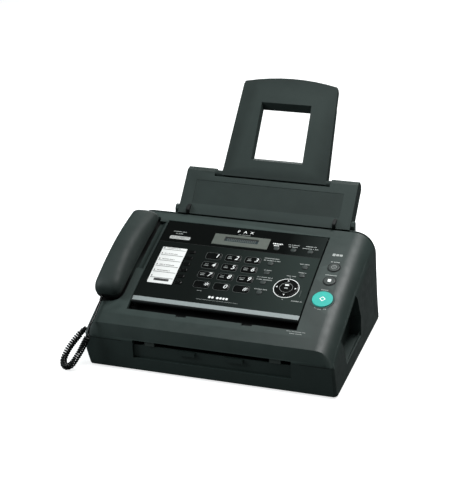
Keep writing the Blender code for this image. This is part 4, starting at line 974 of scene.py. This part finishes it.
def make_display():
    """Glass, painted shadow strips along its top and left edges, and rows of blank cells, just below the frame's
    face.
    """
    middle = (sum(SCREEN_X) / 2, sum(SCREEN_Y) / 2)
    wide = SCREEN_X[1] - SCREEN_X[0]
    deep = (SCREEN_Y[1] - SCREEN_Y[0]) / math.cos(top_angle(middle[1]))
    level = PANEL_RISE - 0.00018
    glass, shade, cells = bmesh.new(), bmesh.new(), bmesh.new()
    add_plate(glass, top_frame(*middle, level), rounded(wide - 0.0006, deep - 0.0006, 0.0004, 1), 0.0001)
    finish_mesh("display_window", glass, "screen", "panel")
    # Painted shadow: dark strips where the frame's inner walls shade the top and left of the glass.
    add_plate(shade, top_frame(middle[0], SCREEN_Y[1] - 0.0017, level + 0.00012),
              rounded(wide - 0.0006, 0.0032, 0.0001, 1), FILM)
    add_plate(shade, top_frame(SCREEN_X[0] + 0.0012, middle[1], level + 0.00012),
              rounded(0.0018, deep - 0.0008, 0.0001, 1), FILM)
    finish_mesh("display_painted_shadow", shade, "inner", "panel")
    for row in range(2):
        for k in range(16):
            x = SCREEN_X[0] + 0.0060 + (wide - 0.0120) * k / 15
            y = middle[1] + 0.0018 - 0.0036 * row
            add_plate(cells, top_frame(x, y, level + 0.00011), rounded(0.0022, 0.0026, 0.0002, 1), FILM)
    finish_mesh("display_cells", cells, "faint", "panel")


def make_card_print():
    """Ruled rows with a mark and some bars in each, and a heavier bar at the foot of the card."""
    lift = PANEL_RISE + CARD_RISE + PRINT_GAP
    ink, soft = bmesh.new(), bmesh.new()
    rows = 6
    centre = sum(CARD_X) / 2
    for k in range(rows):
        y = CARD_Y[0] + (CARD_Y[1] - CARD_Y[0]) * (k + 0.95) / (rows + 0.35)
        add_plate(soft, top_frame(centre, y, lift), rounded(0.0410, 0.0010, 0.0001, 1), FILM)
        if k:
            right = CARD_X[0] + 0.0310 + 0.002 * (k % 3)
            add_words(soft, CARD_X[0] + 0.0085, right, y + 0.0036, 0.0017, lift, 60 + k)
        add_plate(ink, top_frame(CARD_X[0] + 0.0037, y + 0.0036, lift), rounded(0.0016, 0.0030, 0.0003, 1), FILM)
    add_plate(ink, top_frame(centre + 0.001, CARD_Y[0] + 0.0085, lift), rounded(0.0270, 0.0052, 0.0006, 1), FILM)
    finish_mesh("card_ink", ink, "ink", "panel")
    finish_mesh("card_lines", soft, "rule", "panel")


def make_paper_stops():
    """Grey paper stops in the exit slot."""
    for name, x0, x1 in (("left_paper_stop", -0.1105, -0.0935), ("right_paper_stop", 0.1045, 0.1235)):
        outline = rounded(x1 - x0, 0.0076, 0.0012, 3)
        rings = [[bench((x0 + x1) / 2 + x, y, 0.0522 + z) for x, z in outline] for y in (0.0030, 0.0058, 0.0120)]
        finish_mesh(name, loft(rings), "tab", "base")


def make_seam_shadow_strip():
    """Thin black strip in the joint between cover and base, either side of the exit slot: painted shade that darkens
    the seam line.
    """
    half, inside, outside = 0.00055, 0.0006, -0.00006
    section = ((inside, SEAM_Z - half), (outside, SEAM_Z - half), (outside, SEAM_Z + half), (inside, SEAM_Z + half))
    build = bmesh.new()
    for ends in ((-0.2050, -0.1520), (0.1560, 0.2050)):
        rows = [[build.verts.new(bench(x, y, z)) for y, z in section] for x in ends]
        bridge(build, *rows)
        build.faces.new(rows[0][::-1])
        build.faces.new(rows[1])
    finish_mesh("front_seam_painted_shadow", build, "inner", "base")


def make_hinge_cover_and_shade():
    """Dark strip behind the tray that closes the slot under the paper support; its black is also painted shade for
    the deep gap under the support.
    """
    place = Matrix.Translation(bench(0.0, *TRAY_PIVOT)) @ Matrix.Rotation(-TRAY_RECLINE, 4, "X")
    section = ((0.0059, 0.0560), (0.0074, 0.0560), (0.0074, 0.0700),
               (0.0069, 0.0700), (0.0069, 0.0640), (0.0059, 0.0640))
    ends = (NOTCH_X[0] + 0.0004, NOTCH_X[1] - 0.0004)
    strip = loft([[place @ Vector((x, y, z)) for y, z in section] for x in ends])
    finish_mesh("support_hinge_cover_and_shade", strip, "handset_dark", "tray")


REAR_Y = 0.3030
REAR_SCREWS = ((-0.190, 0.030), (0.190, 0.030), (-0.190, 0.125), (0.190, 0.125))


def rear_frame(x, z, lift=0.00002):
    """Matrix whose Z points straight back from the rear face at (x, z), lifted clear of it."""
    upright = Matrix.Rotation(math.pi, 4, "Z") @ Matrix.Rotation(math.pi / 2, 4, "X")
    return Matrix.Translation(bench(x, REAR_Y, z)) @ upright @ Matrix.Translation((0.0, 0.0, lift))


def make_rear_screws():
    """Domed heads with a cross in each, every one turned differently."""
    for index, (x, z) in enumerate(REAR_SCREWS):
        place = rear_frame(x, z)
        build = loft([[place @ Vector((*point, h)) for point in circle(radius, 24)]
                      for radius, h in ((0.0040, 0.0), (0.0040, 0.0004), (0.0036, 0.0010), (0.0026, 0.0013))])
        for turn in (0.0, math.pi / 2):
            arm = place @ Matrix.Translation((0.0, 0.0, 0.00132)) @ Matrix.Rotation(turn + 0.4 * index, 4, "Z")
            add_plate(build, arm, rounded(0.0042, 0.0009, 0.0002, 1), 0.00004)
        finish_mesh("rear_screw_" + str(index + 1), build, "steel", "base")


def make_rear_plate():
    """Plain plate with rows of bars."""
    plate, marks = bmesh.new(), bmesh.new()
    add_plate(plate, rear_frame(0.030, 0.075), rounded(0.080, 0.042, 0.003, 4), 0.0002)
    finish_mesh("rear_plate", plate, "label", "base")
    rows = [(-0.0055, 0.060 - 0.006 * (row % 3), 0.090 - 0.0075 * row, 0.0026, 80 + row) for row in range(5)]
    add_rows(marks, rows, 0.00024, rear_frame)
    finish_mesh("rear_plate_marks", marks, "rule", "base")


def make_sockets():
    """A surround for each socket, and the line socket's contacts."""
    for name, x, z, wide, deep in (("inlet_surround", 0.150, 0.048, 0.0340, 0.0260),
                                   ("line_surround", -0.150, 0.045, 0.0400, 0.0230)):
        ring = bmesh.new()
        add_ring(ring, rear_frame(x, z), rounded(wide - 0.0050, deep - 0.0050, 0.0010, 3),
                 rounded(wide, deep, 0.0025, 3), 0.0007)
        finish_mesh(name, ring, "inner", "base")
    contacts = bmesh.new()
    for centre in (-0.1580, -0.1420):
        for k in range(6):
            spot = Matrix.Translation(bench(centre + 0.0011 * (k - 2.5), 0.2960, 0.0493))
            add_plate(contacts, spot, rounded(0.0005, 0.0080, 0.0001, 1), 0.0004)
    finish_mesh("line_contacts", contacts, "metal", "base")


make_camera()
make_floor()
make_studio()
make_cord()
dress_nodes()
make_handset()
make_panel_print()
make_key_legends()
make_navigator_marks()
make_round_key_marks()
make_small_key_shadow_rings()
make_cover_print()
make_display()
make_card_print()
make_paper_stops()
make_seam_shadow_strip()
make_hinge_cover_and_shade()
make_rear_screws()
make_rear_plate()
make_sockets()
